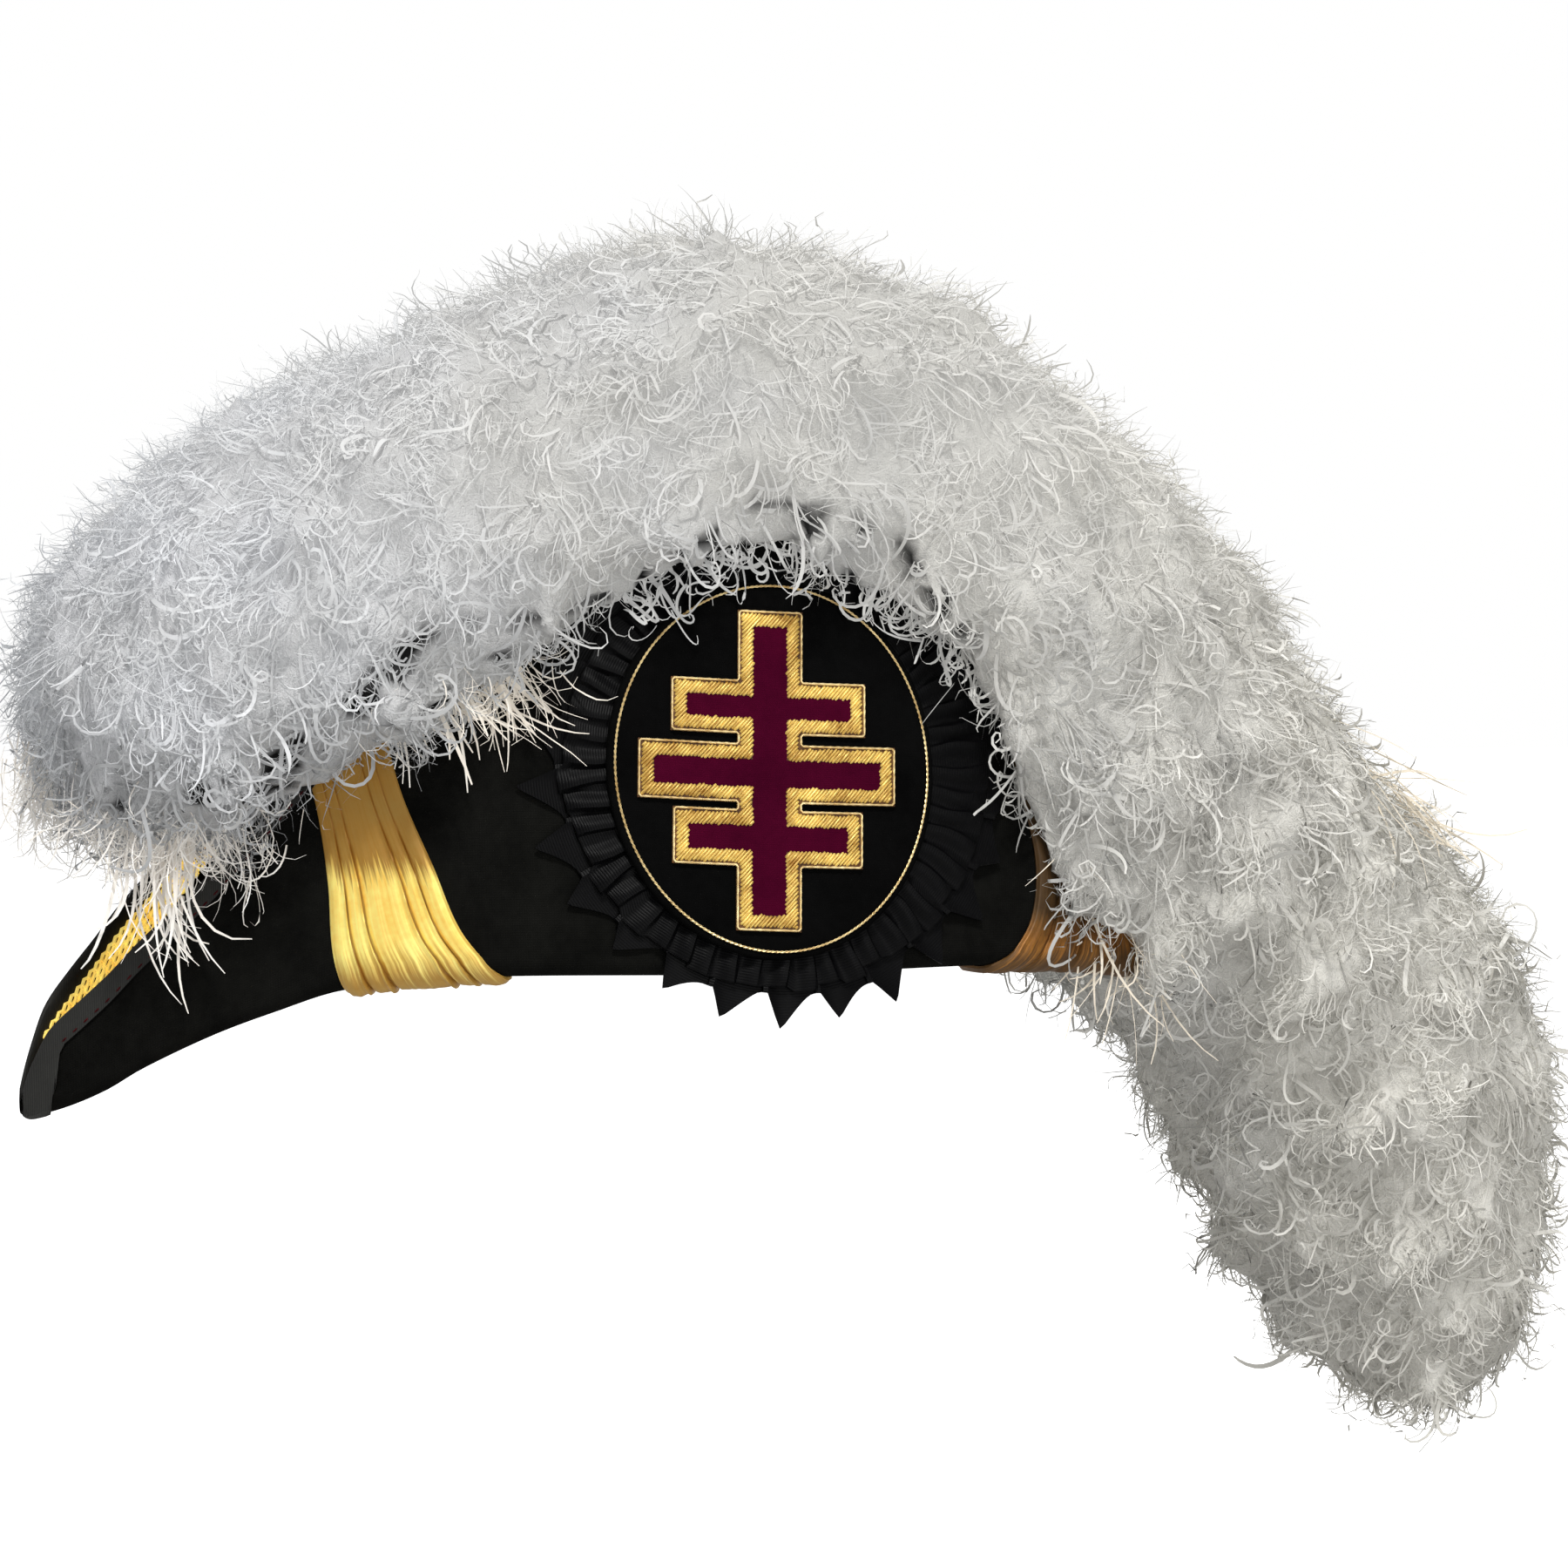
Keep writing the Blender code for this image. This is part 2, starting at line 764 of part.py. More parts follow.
def make_rosette_pleats(material):
    """The rosette's inner ring: knife pleats, each rising to its edge and dropping sharply."""
    front = [[], []]
    back = [[], []]
    for pleat in range(PLEAT_COUNT):
        for is_edge in (False, True):
            turn = math.tau * (pleat + (PLEAT_EDGE_AT if is_edge else 0.0)) / PLEAT_COUNT
            rise = PLEAT_DEPTH if is_edge else 0.0
            levels = ((RING_INNER_RADIUS, rise * PLEAT_INNER_SHARE), (PLEAT_RADIUS, rise))
            for ring, (distance, height) in enumerate(levels):
                off = pleats_base() + PLEAT_BASE + height
                back[ring].append(rosette_point(turn, distance, pleats_base()))
                front[ring].append(rosette_point(turn, distance, off))
    return ring_sheet("rosette_pleats", front, back, material)


def make_patch(material):
    """The oval disc over the pleats' inner ends, its face a little lower at the edge."""
    levels = (
        (0.0, patch_base()),
        (0.0, patch_face() - PATCH_EDGE_FALL),
        (PATCH_EDGE_ROUND, patch_face()),
    )
    return round_body("patch_disc", patch_point, levels, material)


def make_patch_cord(material):
    """Gold cord laid on the patch, just inside its edge."""
    curve = bpy.data.curves.new("patch_cord", "CURVE")
    curve.dimensions = "3D"
    curve.bevel_depth = CORD_RADIUS
    curve.bevel_resolution = 0
    line = curve.splines.new("POLY")
    line.points.add(CORD_CORNERS - 1)
    line.use_cyclic_u = True
    off = patch_face() + GAP + CORD_RADIUS
    for corner, point in enumerate(line.points):
        turn = math.tau * corner / CORD_CORNERS
        point.co = (*patch_point(turn, CORD_INSET, off), 1.0)
    curve.materials.append(material)
    obj = bpy.data.objects.new("patch_cord", curve)
    bpy.context.scene.collection.objects.link(obj)
    return obj


def cross_parts():
    """The upright and the three bars of the cross, with their sizes in metres."""
    bars = [
        CrossBar(
            bar.half * PATCH_HALF_LENGTH, bar.low * PATCH_HALF_HEIGHT, bar.high * PATCH_HALF_HEIGHT
        )
        for bar in CROSS_BARS
    ]
    return [CrossBar(CROSS_ARM, CROSS_BOTTOM, CROSS_TOP), *bars]


def in_cross(x, up, inset):
    """Whether a place on the patch lies in the cross, drawn in by an inset."""
    return any(
        abs(x) < part.half - inset and part.low + inset < up < part.high - inset
        for part in cross_parts()
    )


def cross_lines(insets):
    """Grid lines along the hat and up the side that hold every edge of the cross."""
    xs, ups = set(), set()
    for inset in insets:
        for part in cross_parts():
            xs |= {inset - part.half, part.half - inset}
            ups |= {part.low + inset, part.high - inset}
    xs, ups = sorted(xs), sorted(ups)
    filled = [xs[0]]
    for x in xs[1:]:
        steps = max(1, round((x - filled[-1]) / CROSS_BEND_STEP))
        start = filled[-1]
        filled += [start + (x - start) * step / steps for step in range(1, steps + 1)]
    return filled, ups


def cell_sheet(name, xs, ups, holds, cloth, material):
    """A sheet on the patch made of the grid's cells that hold it, bent as the patch is."""
    shape = bmesh.new()
    corners = {}

    def corner(column, row):
        if (column, row) not in corners:
            x, up = PATCH_X + xs[column], PATCH_UP + ups[row]
            point = wall_point(x, up, patch_face() + GAP, -1)
            corners[column, row] = shape.verts.new(point)
        return corners[column, row]

    for column in range(len(xs) - 1):
        for row in range(len(ups) - 1):
            middle_x = (xs[column] + xs[column + 1]) / 2
            middle_up = (ups[row] + ups[row + 1]) / 2
            if holds(middle_x, middle_up):
                shape.faces.new(
                    (
                        corner(column, row),
                        corner(column + 1, row),
                        corner(column + 1, row + 1),
                        corner(column, row + 1),
                    )
                )
    mesh = bpy.data.meshes.new(name)
    shape.to_mesh(mesh)
    shape.free()
    obj = add_object(name, mesh, material)
    sheet = obj.modifiers.new("Cloth", "SOLIDIFY")
    sheet.thickness = cloth
    sheet.offset = 1.0
    return obj


def make_cross(border_material, fill_material):
    """The triple-bar cross: a raised border, and the fill that lies inside it."""
    xs, ups = cross_lines((0.0, CROSS_BORDER))
    cell_sheet(
        "cross_border",
        xs,
        ups,
        lambda x, up: in_cross(x, up, 0.0) and not in_cross(x, up, CROSS_BORDER),
        CROSS_BORDER_CLOTH,
        border_material,
    )
    inset = CROSS_BORDER + GAP
    xs, ups = cross_lines((inset,))
    cell_sheet(
        "cross_fill",
        xs,
        ups,
        lambda x, up: in_cross(x, up, inset),
        CROSS_FILL_CLOTH,
        fill_material,
    )


def plume_point(position, turn, lift):
    """A point over the plume's body: position counts ribs from the front, turn is the angle from
    the crest, positive to the right, and lift is the height over the body, which lies inside the
    ribs' soft outline."""
    rib = along_rows(PLUME_RIBS, position)
    outer = Vector((rib.outer_x * HALF_LENGTH, 0.0, rib.outer_z * SIDE_HEIGHT))
    inner = Vector((rib.inner_x * HALF_LENGTH, 0.0, rib.inner_z * SIDE_HEIGHT))
    middle = (outer + inner) / 2
    half = (outer - inner).length / 2 + lift - PLUME_INSET
    up = (outer - inner).normalized()
    cosine, sine = math.cos(turn), math.sin(turn)
    power = 2.0 / (CREST_SQUARE if cosine > 0.0 else rib.square)
    width = rib.half_width * HALF_WIDTH + lift - PLUME_INSET
    across = math.copysign(abs(sine) ** power, sine) * width
    rise = math.copysign(abs(cosine) ** power, cosine) * half
    return middle + up * rise + Vector((0.0, across, 0.0))


def rib_spacing(position):
    """Distance between ribs along the plume's middle line."""
    low, high = max(position - RIB_STEP, 0.0), min(position + RIB_STEP, len(PLUME_RIBS) - 1)
    middles = []
    for place in (low, high):
        crest, base = plume_point(place, 0.0, 0.0), plume_point(place, math.pi, 0.0)
        middles.append((crest + base) / 2)
    return (middles[1] - middles[0]).length / (high - low)


def plume_skin(feather, draw):
    """Loops of points round one length of the plume. Its surface is laid in locks like shingles:
    each rises from its root near the crest to a tip lower down the side, then drops to the next."""
    ribs = feather.last - feather.first
    columns = 2 * ribs
    loops = []
    for column in range(columns + 1):
        position = feather.first + ribs * column / columns
        is_ridge, is_between = column % 2 == 1, column % 4 == 3
        if column == 0 and feather.first > 0:
            position += PLUME_GAP / rib_spacing(position)
        if column == columns and feather.last < len(PLUME_RIBS) - 1:
            position -= PLUME_GAP / rib_spacing(position)
        slant = LOCK_SLANT * ribs / columns if is_ridge else 0.0
        sides = []
        for side in (1.0, -1.0):
            line = []
            for row in range(LOCK_ROWS):
                for is_tip in (False, True):
                    down = LOCK_ROOT_AT + row + (LOCK_TIP_AT if is_tip else 0.0)
                    down += LOCK_SHIFT if is_between else 0.0
                    turn = math.pi * down / (LOCK_ROOT_AT + LOCK_ROWS + LOCK_SHIFT)
                    rises = is_ridge and is_tip
                    share = draw.uniform(1.0 - LOCK_UNEVEN, 1.0 + LOCK_UNEVEN)
                    lift = LOCK_RISE * share if rises else LOCK_VALLEY
                    place = position + (slant if rises else 0.0)
                    line.append(plume_point(place, side * turn, lift))
            sides.append(line)
        crest = plume_point(position, 0.0, LOCK_RISE / 2 if is_ridge else LOCK_VALLEY)
        base = plume_point(position, math.pi, LOCK_VALLEY)
        loops.append([crest, *sides[0], base, *reversed(sides[1])])
    return loops


def make_tuft(name, position, turn, draw, material):
    """One longer tuft: a tapered body rooted in the plume that hangs past its edge and curls up."""
    side = 1.0 if turn > 0.0 else -1.0
    width = TUFT_WIDTH_SHARE * draw.uniform(1.0 - TUFT_UNEVEN, 1.0 + TUFT_UNEVEN)
    sweep = side * TUFT_REACH * draw.uniform(1.0 - TUFT_UNEVEN, 1.0 + TUFT_UNEVEN)
    loops = []
    for step in TUFT_STEPS:
        half = width * step.broad / 2
        place, angle = position + LOCK_SLANT * step.along, turn + sweep * step.along
        sunk = -TUFT_SINK * (1.0 - step.along)
        top = TUFT_RISE * step.rise + TUFT_CURL * step.along**2
        loops.append(
            [
                plume_point(place - half, angle, sunk),
                plume_point(place - half / 2, angle, top),
                plume_point(place + half / 2, angle, top),
                plume_point(place + half, angle, sunk),
            ]
        )
    corners = len(loops[0])
    tip = plume_point(position + LOCK_SLANT, turn + sweep, TUFT_CURL)
    vertices = [point for loop in loops for point in loop] + [tip]
    faces = [list(range(corners)), *loop_walls(loops)]
    last = corners * (len(loops) - 1)
    faces += [[last + c, last + (c + 1) % corners, len(vertices) - 1] for c in range(corners)]
    return as_cutter(add_object(name, mesh_from(name, vertices, faces), material))


def make_tufts(feather, draw, material):
    """The longer tufts of one length of the plume, along both of its lower edges."""
    group = bpy.data.collections.new(feather.name + "_tufts")
    bpy.context.scene.collection.children.link(group)
    tufts = TUFTS[feather.name]
    for place in range(tufts.count):
        share = (place + TUFT_START) / tufts.count
        position = feather.first + (feather.last - feather.first) * share
        for side in (-1.0, 1.0):
            name = f"{feather.name}_tuft_{place}_{int(side > 0.0)}"
            tuft = make_tuft(name, position, side * tufts.turn, draw, material)
            bpy.context.scene.collection.objects.unlink(tuft)
            group.objects.link(tuft)
    group.hide_render = True
    return group


def make_feather(feather, cutters, draw, material):
    """One length of the plume: its skin of locks, its tufts joined on and the hat cut out of it."""
    body = lofted(feather.name, plume_skin(feather, draw), material)
    add_boolean(body, "UNION", make_tufts(feather, draw, material))
    for cutter in cutters:
        add_boolean(body, "DIFFERENCE", cutter)
    return body


def hat_envelope(material):
    """Everything between and just outside the two sides, as one body to cut from the plume."""
    loops = []
    past = HALF_LENGTH + ENVELOPE_GAP
    for x in [past, *stations(), -past]:
        at = section_at(x)
        crest = at.length + GAP + BINDING_CLOTH + GAP
        path = (0.0, at.arc / 2, at.arc, crest)
        left = [side_point(x, along, ENVELOPE_GAP, -1) for along in path]
        right = [side_point(x, along, ENVELOPE_GAP, 1) for along in reversed(path)]
        loops.append(left + right)
    return as_cutter(lofted("hat_envelope", loops, material))


def rosette_room(material):
    """The room that the rosette and the patch take in the plume's left skirt."""
    tips = POINTS_TIP + POINTS_UNEVEN + ROSETTE_ROOM
    over_tips = GAP + POINTS_FLARE + POINTS_CLOTH + ROSETTE_ROOM
    over_patch = patch_face() + 2 * CORD_RADIUS + ROSETTE_ROOM
    levels = (
        (tips, -CLOTH / 2),
        (tips, over_tips),
        (PLEAT_RADIUS + ROSETTE_ROOM, over_tips + ROSETTE_ROOM),
        (PLEAT_RADIUS + ROSETTE_ROOM, over_patch),
    )
    return as_cutter(round_body("rosette_room", rosette_point, levels, material))


def main():
    clear_scene()
    black = make_material(BLACK_CLOTH)
    ribbon = make_material(BLACK_RIBBON)
    gold = make_material(GOLD_RIBBON)
    lace = make_material(GOLD_LACE)
    thread = make_material(GOLD_THREAD)
    maroon = make_material(MAROON_CLOTH)
    feather_white = make_material(WHITE_FEATHER)

    make_crown(black)
    for side, hand in (("left", -1), ("right", 1)):
        make_side(f"{side}_side", hand, black)
        make_binding(f"{side}_binding", hand, ribbon)
        make_lace(f"{side}_lace", hand, lace)
        make_band(f"band_front_{side}", FRONT_BAND, -1, hand, gold)
        make_band(f"band_rear_{side}", REAR_BAND, 1, hand, gold)
    make_rosette_points(ribbon)
    make_rosette_pleats(ribbon)
    make_patch(black)
    make_patch_cord(thread)
    make_cross(thread, maroon)

    draw = random.Random(SEED)
    cutters = (hat_envelope(black), rosette_room(black))
    for feather in FEATHERS:
        make_feather(feather, cutters, draw, feather_white)


if __name__ == "__main__":
    main()
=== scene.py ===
"""Looks of the plumed dress hat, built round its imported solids.

Metres, +Z up, in the solids' own frame: the front peak points to -X, and the hat's left side, which
carries the rosette and the patch, faces -Y.
"""

from __future__ import annotations

import functools
import logging
import math
import random
from dataclasses import dataclass, field, replace
from enum import Enum
from typing import NamedTuple

import bmesh
import bpy
import numpy as np
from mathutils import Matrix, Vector, noise
from mathutils.bvhtree import BVHTree
from mathutils.kdtree import KDTree


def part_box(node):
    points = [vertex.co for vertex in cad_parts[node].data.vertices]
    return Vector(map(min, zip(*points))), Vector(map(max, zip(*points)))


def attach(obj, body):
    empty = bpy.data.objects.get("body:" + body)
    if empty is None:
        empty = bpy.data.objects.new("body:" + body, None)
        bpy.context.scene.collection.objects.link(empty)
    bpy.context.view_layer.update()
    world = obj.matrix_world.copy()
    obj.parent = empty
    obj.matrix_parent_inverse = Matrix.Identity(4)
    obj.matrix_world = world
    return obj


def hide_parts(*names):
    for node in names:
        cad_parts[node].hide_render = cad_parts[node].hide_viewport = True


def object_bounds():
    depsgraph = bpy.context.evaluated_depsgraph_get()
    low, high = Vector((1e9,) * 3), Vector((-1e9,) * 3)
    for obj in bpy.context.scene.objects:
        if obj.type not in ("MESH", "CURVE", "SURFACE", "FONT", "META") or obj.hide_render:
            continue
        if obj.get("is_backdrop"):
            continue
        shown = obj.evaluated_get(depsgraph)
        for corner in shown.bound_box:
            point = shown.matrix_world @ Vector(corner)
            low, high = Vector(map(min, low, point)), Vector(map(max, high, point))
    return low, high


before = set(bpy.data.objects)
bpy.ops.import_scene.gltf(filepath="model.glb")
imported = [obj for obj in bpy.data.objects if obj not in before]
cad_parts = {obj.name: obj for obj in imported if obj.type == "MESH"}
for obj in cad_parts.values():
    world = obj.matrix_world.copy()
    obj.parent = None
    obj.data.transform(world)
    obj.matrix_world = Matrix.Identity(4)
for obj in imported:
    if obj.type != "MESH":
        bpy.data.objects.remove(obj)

log = logging.getLogger("plumed_hat")

UV_NAME = "cloth"
BODY = "root"
SHARP_ANGLE = math.radians(40.0)
Array = np.ndarray
Draw = np.random.Generator
Socket = bpy.types.NodeSocket
Sockets = bpy.types.bpy_prop_collection
Triple = tuple[float, float, float]
Colour = tuple[float, float, float, float]
BLACK: Colour = (0.0, 0.0, 0.0, 1.0)


class Hand(Enum):
    """A side of the hat, as its wearer has it."""

    LEFT = -1
    RIGHT = 1


class End(Enum):
    """An end of the hat."""

    FRONT = -1
    REAR = 1


# Small sums on arrays


def unit(vectors: Array) -> Array:
    """Vectors of length one, where zero vectors stay as they are."""
    length = np.linalg.norm(vectors, axis=-1, keepdims=True)
    return vectors / np.maximum(length, 1e-12)


def turned(vectors: Array, axes: Array, angles: Array) -> Array:
    """Turns vectors about unit axes.

    Args:
        vectors: Array of vectors.
        axes: The unit axis of each.
        angles: The angle of each, in radians.

    Returns:
        The turned vectors.
    """
    cosine, sine = np.cos(angles)[..., None], np.sin(angles)[..., None]
    along = (vectors * axes).sum(-1, keepdims=True)
    return vectors * cosine + np.cross(axes, vectors) * sine + axes * along * (1.0 - cosine)


def smooth_step(values: Array, low: float, high: float) -> Array:
    """A smooth rise from 0 at low to 1 at high."""
    share = np.clip((values - low) / (high - low), 0.0, 1.0)
    return share * share * (3.0 - 2.0 * share)


def pairs(first: Array, second: Array) -> Array:
    """Cloth places from their two numbers, each spread over the other's shape."""
    return np.stack(np.broadcast_arrays(first, second), axis=-1)


def noise_at(places: Array) -> Array:
    """Noise at places given in its own turns, from -1 to 1."""
    return np.array([noise.noise(Vector(place)) for place in places])


@dataclass(frozen=True)
class Curve:
    """A smooth line through a table: where each value lies, and the values."""

    shares: tuple[float, ...]
    values: tuple[float, ...]

    def at(self, share: Array) -> Array:
        """The line's value.

        Args:
            share: Where to read it.

        Returns:
            The value at each place, held level past both ends.
        """
        places, values = np.array(self.shares), np.array(self.values)
        share = np.clip(np.asarray(share, float), places[0], places[-1])
        low = np.clip(np.searchsorted(places, share, side="left") - 1, 0, len(places) - 2)
        high = low + 1
        before, after = np.maximum(low - 1, 0), np.minimum(high + 1, len(places) - 1)
        span = places[high] - places[low]
        slope_in = (values[high] - values[before]) / (places[high] - places[before]) * span
        slope_out = (values[after] - values[low]) / (places[after] - places[low]) * span
        t = (share - places[low]) / span
        return (
            values[low] * (2 * t**3 - 3 * t**2 + 1)
            + slope_in * (t**3 - 2 * t**2 + t)
            + values[high] * (3 * t**2 - 2 * t**3)
            + slope_out * (t**3 - t**2)
        )


# Meshes made from grids of points


@dataclass
class Pile:
    """Collects grids of points, as grids by rows by columns by 3, and makes one mesh of them.

    Where a grid wraps, its last column joins its first, and its cloth places have one more column.
    """

    points: list[Array] = field(default_factory=list)
    faces: list[Array] = field(default_factory=list)
    corners: list[Array] = field(default_factory=list)
    count: int = 0

    def add_points(self, points: Array) -> Array:
        """Adds points.

        Args:
            points: Array of points of any shape.

        Returns:
            The number of each point, in the same shape.
        """
        shape = points.shape[:-1]
        number = int(np.prod(shape))
        self.points.append(points.reshape(-1, 3))
        self.count += number
        return np.arange(self.count - number, self.count).reshape(shape)

    def weave(self, index: Array, uv: Array, wrap: bool = False) -> None:
        """Adds the faces of a stack of grids.

        Args:
            index: Point numbers.
            uv: Cloth places of the points.
            wrap: Whether the grids wrap.
        """
        if wrap:
            index = np.concatenate([index, index[:, :, :1]], axis=2)

        def quads(grid: Array) -> Array:
            """The four corners of each face of a stack of grids."""
            sides = (grid[:, :-1, :-1], grid[:, :-1, 1:], grid[:, 1:, 1:], grid[:, 1:, :-1])
            return np.stack(sides, axis=3)

        self.faces.append(quads(index).reshape(-1, 4))
        self.corners.append(quads(uv).reshape(-1, 4, 2))

    def add_grids(self, grids: Array, uv: Array, wrap: bool = False) -> Pile:
        """Adds a stack of separate grids with their faces, and gives this pile."""
        self.weave(self.add_points(grids), uv, wrap)
        return self

    def add_shells(self, front: Array, back: Array, uv: Array, wrap: bool = False) -> Pile:
        """Adds sheets between two stacks of grids that match, closed along their edges.

        Args:
            front: Points of the faces.
            back: Points of the backs.
            uv: Cloth places.
            wrap: Whether the grids wrap.

        Returns:
            This pile.
        """
        face, rear = self.add_points(front), self.add_points(back)
        self.weave(face, uv, wrap)
        self.weave(rear[:, ::-1], uv[:, ::-1], wrap)
        for row in (0, -1):
            edge = np.stack([face[:, row], rear[:, row]], axis=1)
            self.weave(edge, np.stack([uv[:, row]] * 2, axis=1), wrap)
        for column in () if wrap else (0, -1):
            edge = np.stack([face[:, :, column], rear[:, :, column]], axis=1)
            self.weave(edge, np.stack([uv[:, :, column]] * 2, axis=1))
        return self

    def add_tubes(self, paths: Array, radius: Array, up: Array, sides: int) -> Pile:
        """Adds round tubes, whose cloth places go round the tube and along it in metres.

        Args:
            paths: Their middle lines, as paths by steps by 3.
            radius: Radius at each step, or at every step.
            up: A direction off each path, in a shape that spreads over the paths.
            sides: How many sides a tube has.

        Returns:
            This pile.
        """
        along = unit(np.gradient(paths, axis=1))
        side = unit(np.cross(along, np.broadcast_to(up, along.shape)))
        over = np.cross(side, along)
        turns = np.arange(sides) * math.tau / sides
        ring = side[:, :, None] * np.cos(turns)[:, None] + over[:, :, None] * np.sin(turns)[:, None]
        grids = paths[:, :, None] + ring * np.broadcast_to(radius, paths.shape[:2])[..., None, None]
        steps = np.linalg.norm(np.diff(paths, axis=1), axis=-1)
        run = np.concatenate([np.zeros((len(paths), 1)), np.cumsum(steps, axis=1)], axis=1)
        return self.add_grids(grids, pairs(np.arange(sides + 1) / sides, run[..., None]), wrap=True)

    def build(
        self, name: str, finish: Finish, slot: str, closed: bool = True, normals: Array | None = None
    ) -> bpy.types.Object:
        """Makes the piece.

        Args:
            name: Its name.
            finish: Its finish.
            slot: Not used.
            closed: Whether the mesh is made of closed shells, whose faces are turned out.
            normals: A shading normal for each point, or None to work them out.

        Returns:
            The piece, riding on the hat.
        """
        points = np.concatenate(self.points).astype(np.float32)
        faces = np.concatenate(self.faces).astype(np.int32)
        corners = np.concatenate(self.corners).astype(np.float32)
        mesh = bpy.data.meshes.new(name)
        mesh.vertices.add(len(points))
        mesh.vertices.foreach_set("co", points.ravel())
        mesh.loops.add(faces.size)
        mesh.loops.foreach_set("vertex_index", faces.ravel())
        mesh.polygons.add(len(faces))
        mesh.polygons.foreach_set("loop_start", np.arange(0, faces.size, 4, dtype=np.int32))
        mesh.uv_layers.new(name=UV_NAME).data.foreach_set("uv", corners.ravel())
        mesh.update(calc_edges=True)
        if closed:
            shape = bmesh.new()
            shape.from_mesh(mesh)
            bmesh.ops.recalc_face_normals(shape, faces=shape.faces)
            shape.to_mesh(mesh)
            shape.free()
        mesh.shade_smooth()
        if normals is None:
            mesh.set_sharp_from_angle(angle=SHARP_ANGLE)
        else:
            mesh.normals_split_custom_set_from_vertices(normals.reshape(-1, 3).tolist())
        mesh.materials.append(finish.material())
        return add_piece(name, mesh)


def add_object(name: str, data: bpy.types.ID) -> bpy.types.Object:
    """Links a new object to the scene.

    Args:
        name: Its name.
        data: Its mesh, camera or light.

    Returns:
        The object.
    """
    item = bpy.data.objects.new(name, data)
    bpy.context.scene.collection.objects.link(item)
    return item


def add_piece(name: str, mesh: bpy.types.Mesh) -> bpy.types.Object:
    """Links a mesh as a piece of the hat.

    Args:
        name: The piece's name.
        mesh: Its mesh, with its material.

    Returns:
        The piece, riding on the hat.
    """
    piece = add_object(name, mesh)
    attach(piece, BODY)
    log.info("%s: %d faces", name, len(mesh.polygons))
    return piece


# The form that the solids share: how a side of the hat stands at each station


@dataclass(frozen=True)
class Section:
    """The outer face of a side at stations along the hat, in the planes across it.

    The centre, radius and turn are the fold's, whose arc is a length, as is that to the top edge.
    """

    centre_y: Array
    centre_z: Array
    radius: Array
    turn: Array
    arc: Array
    length: Array
    cloth: Array


BAND_WIDTH = 0.036
FOLD_DROP = Curve(
    (0.0, 0.42, 0.58, 0.67, 0.75, 0.84, 0.89, 0.95, 1.0),
    (0.0, 0.0, 0.09, 0.24, 0.40, 0.63, 0.79, 0.93, 1.0),
)
PEAK_STAND = Curve((0.0, 0.45, 0.6, 0.72, 0.85, 0.95, 1.0), (0.0, 0.0, 0.35, 0.7, 1.0, 0.8, 0.0))
EDGE_RISE = Curve(
    (0.0, 0.19, 0.38, 0.52, 0.66, 0.75, 0.86, 0.92, 0.96, 0.98, 1.0),
    (1.0, 0.932, 0.757, 0.588, 0.412, 0.311, 0.233, 0.192, 0.155, 0.105, 0.045),
)


@dataclass(frozen=True)
class Crease:
    """A lengthwise crease in a gold band: where it lies across the band as a share from its inner edge,
    how far it drifts across on its way up, its depth, and its width as a share of the band.
    """

    across: float
    drift: float
    depth: float
    width: float


FRONT_CREASES = (
    Crease(0.17, 0.10, 0.0014, 0.010),
    Crease(0.31, 0.14, 0.0022, 0.011),
    Crease(0.69, 0.14, 0.0020, 0.011),
    Crease(0.84, 0.08, 0.0016, 0.010),
)
REAR_CREASES = (
    Crease(0.22, 0.04, 0.0009, 0.014),
    Crease(0.48, 0.05, 0.0012, 0.016),
    Crease(0.78, -0.04, 0.0009, 0.014),
)


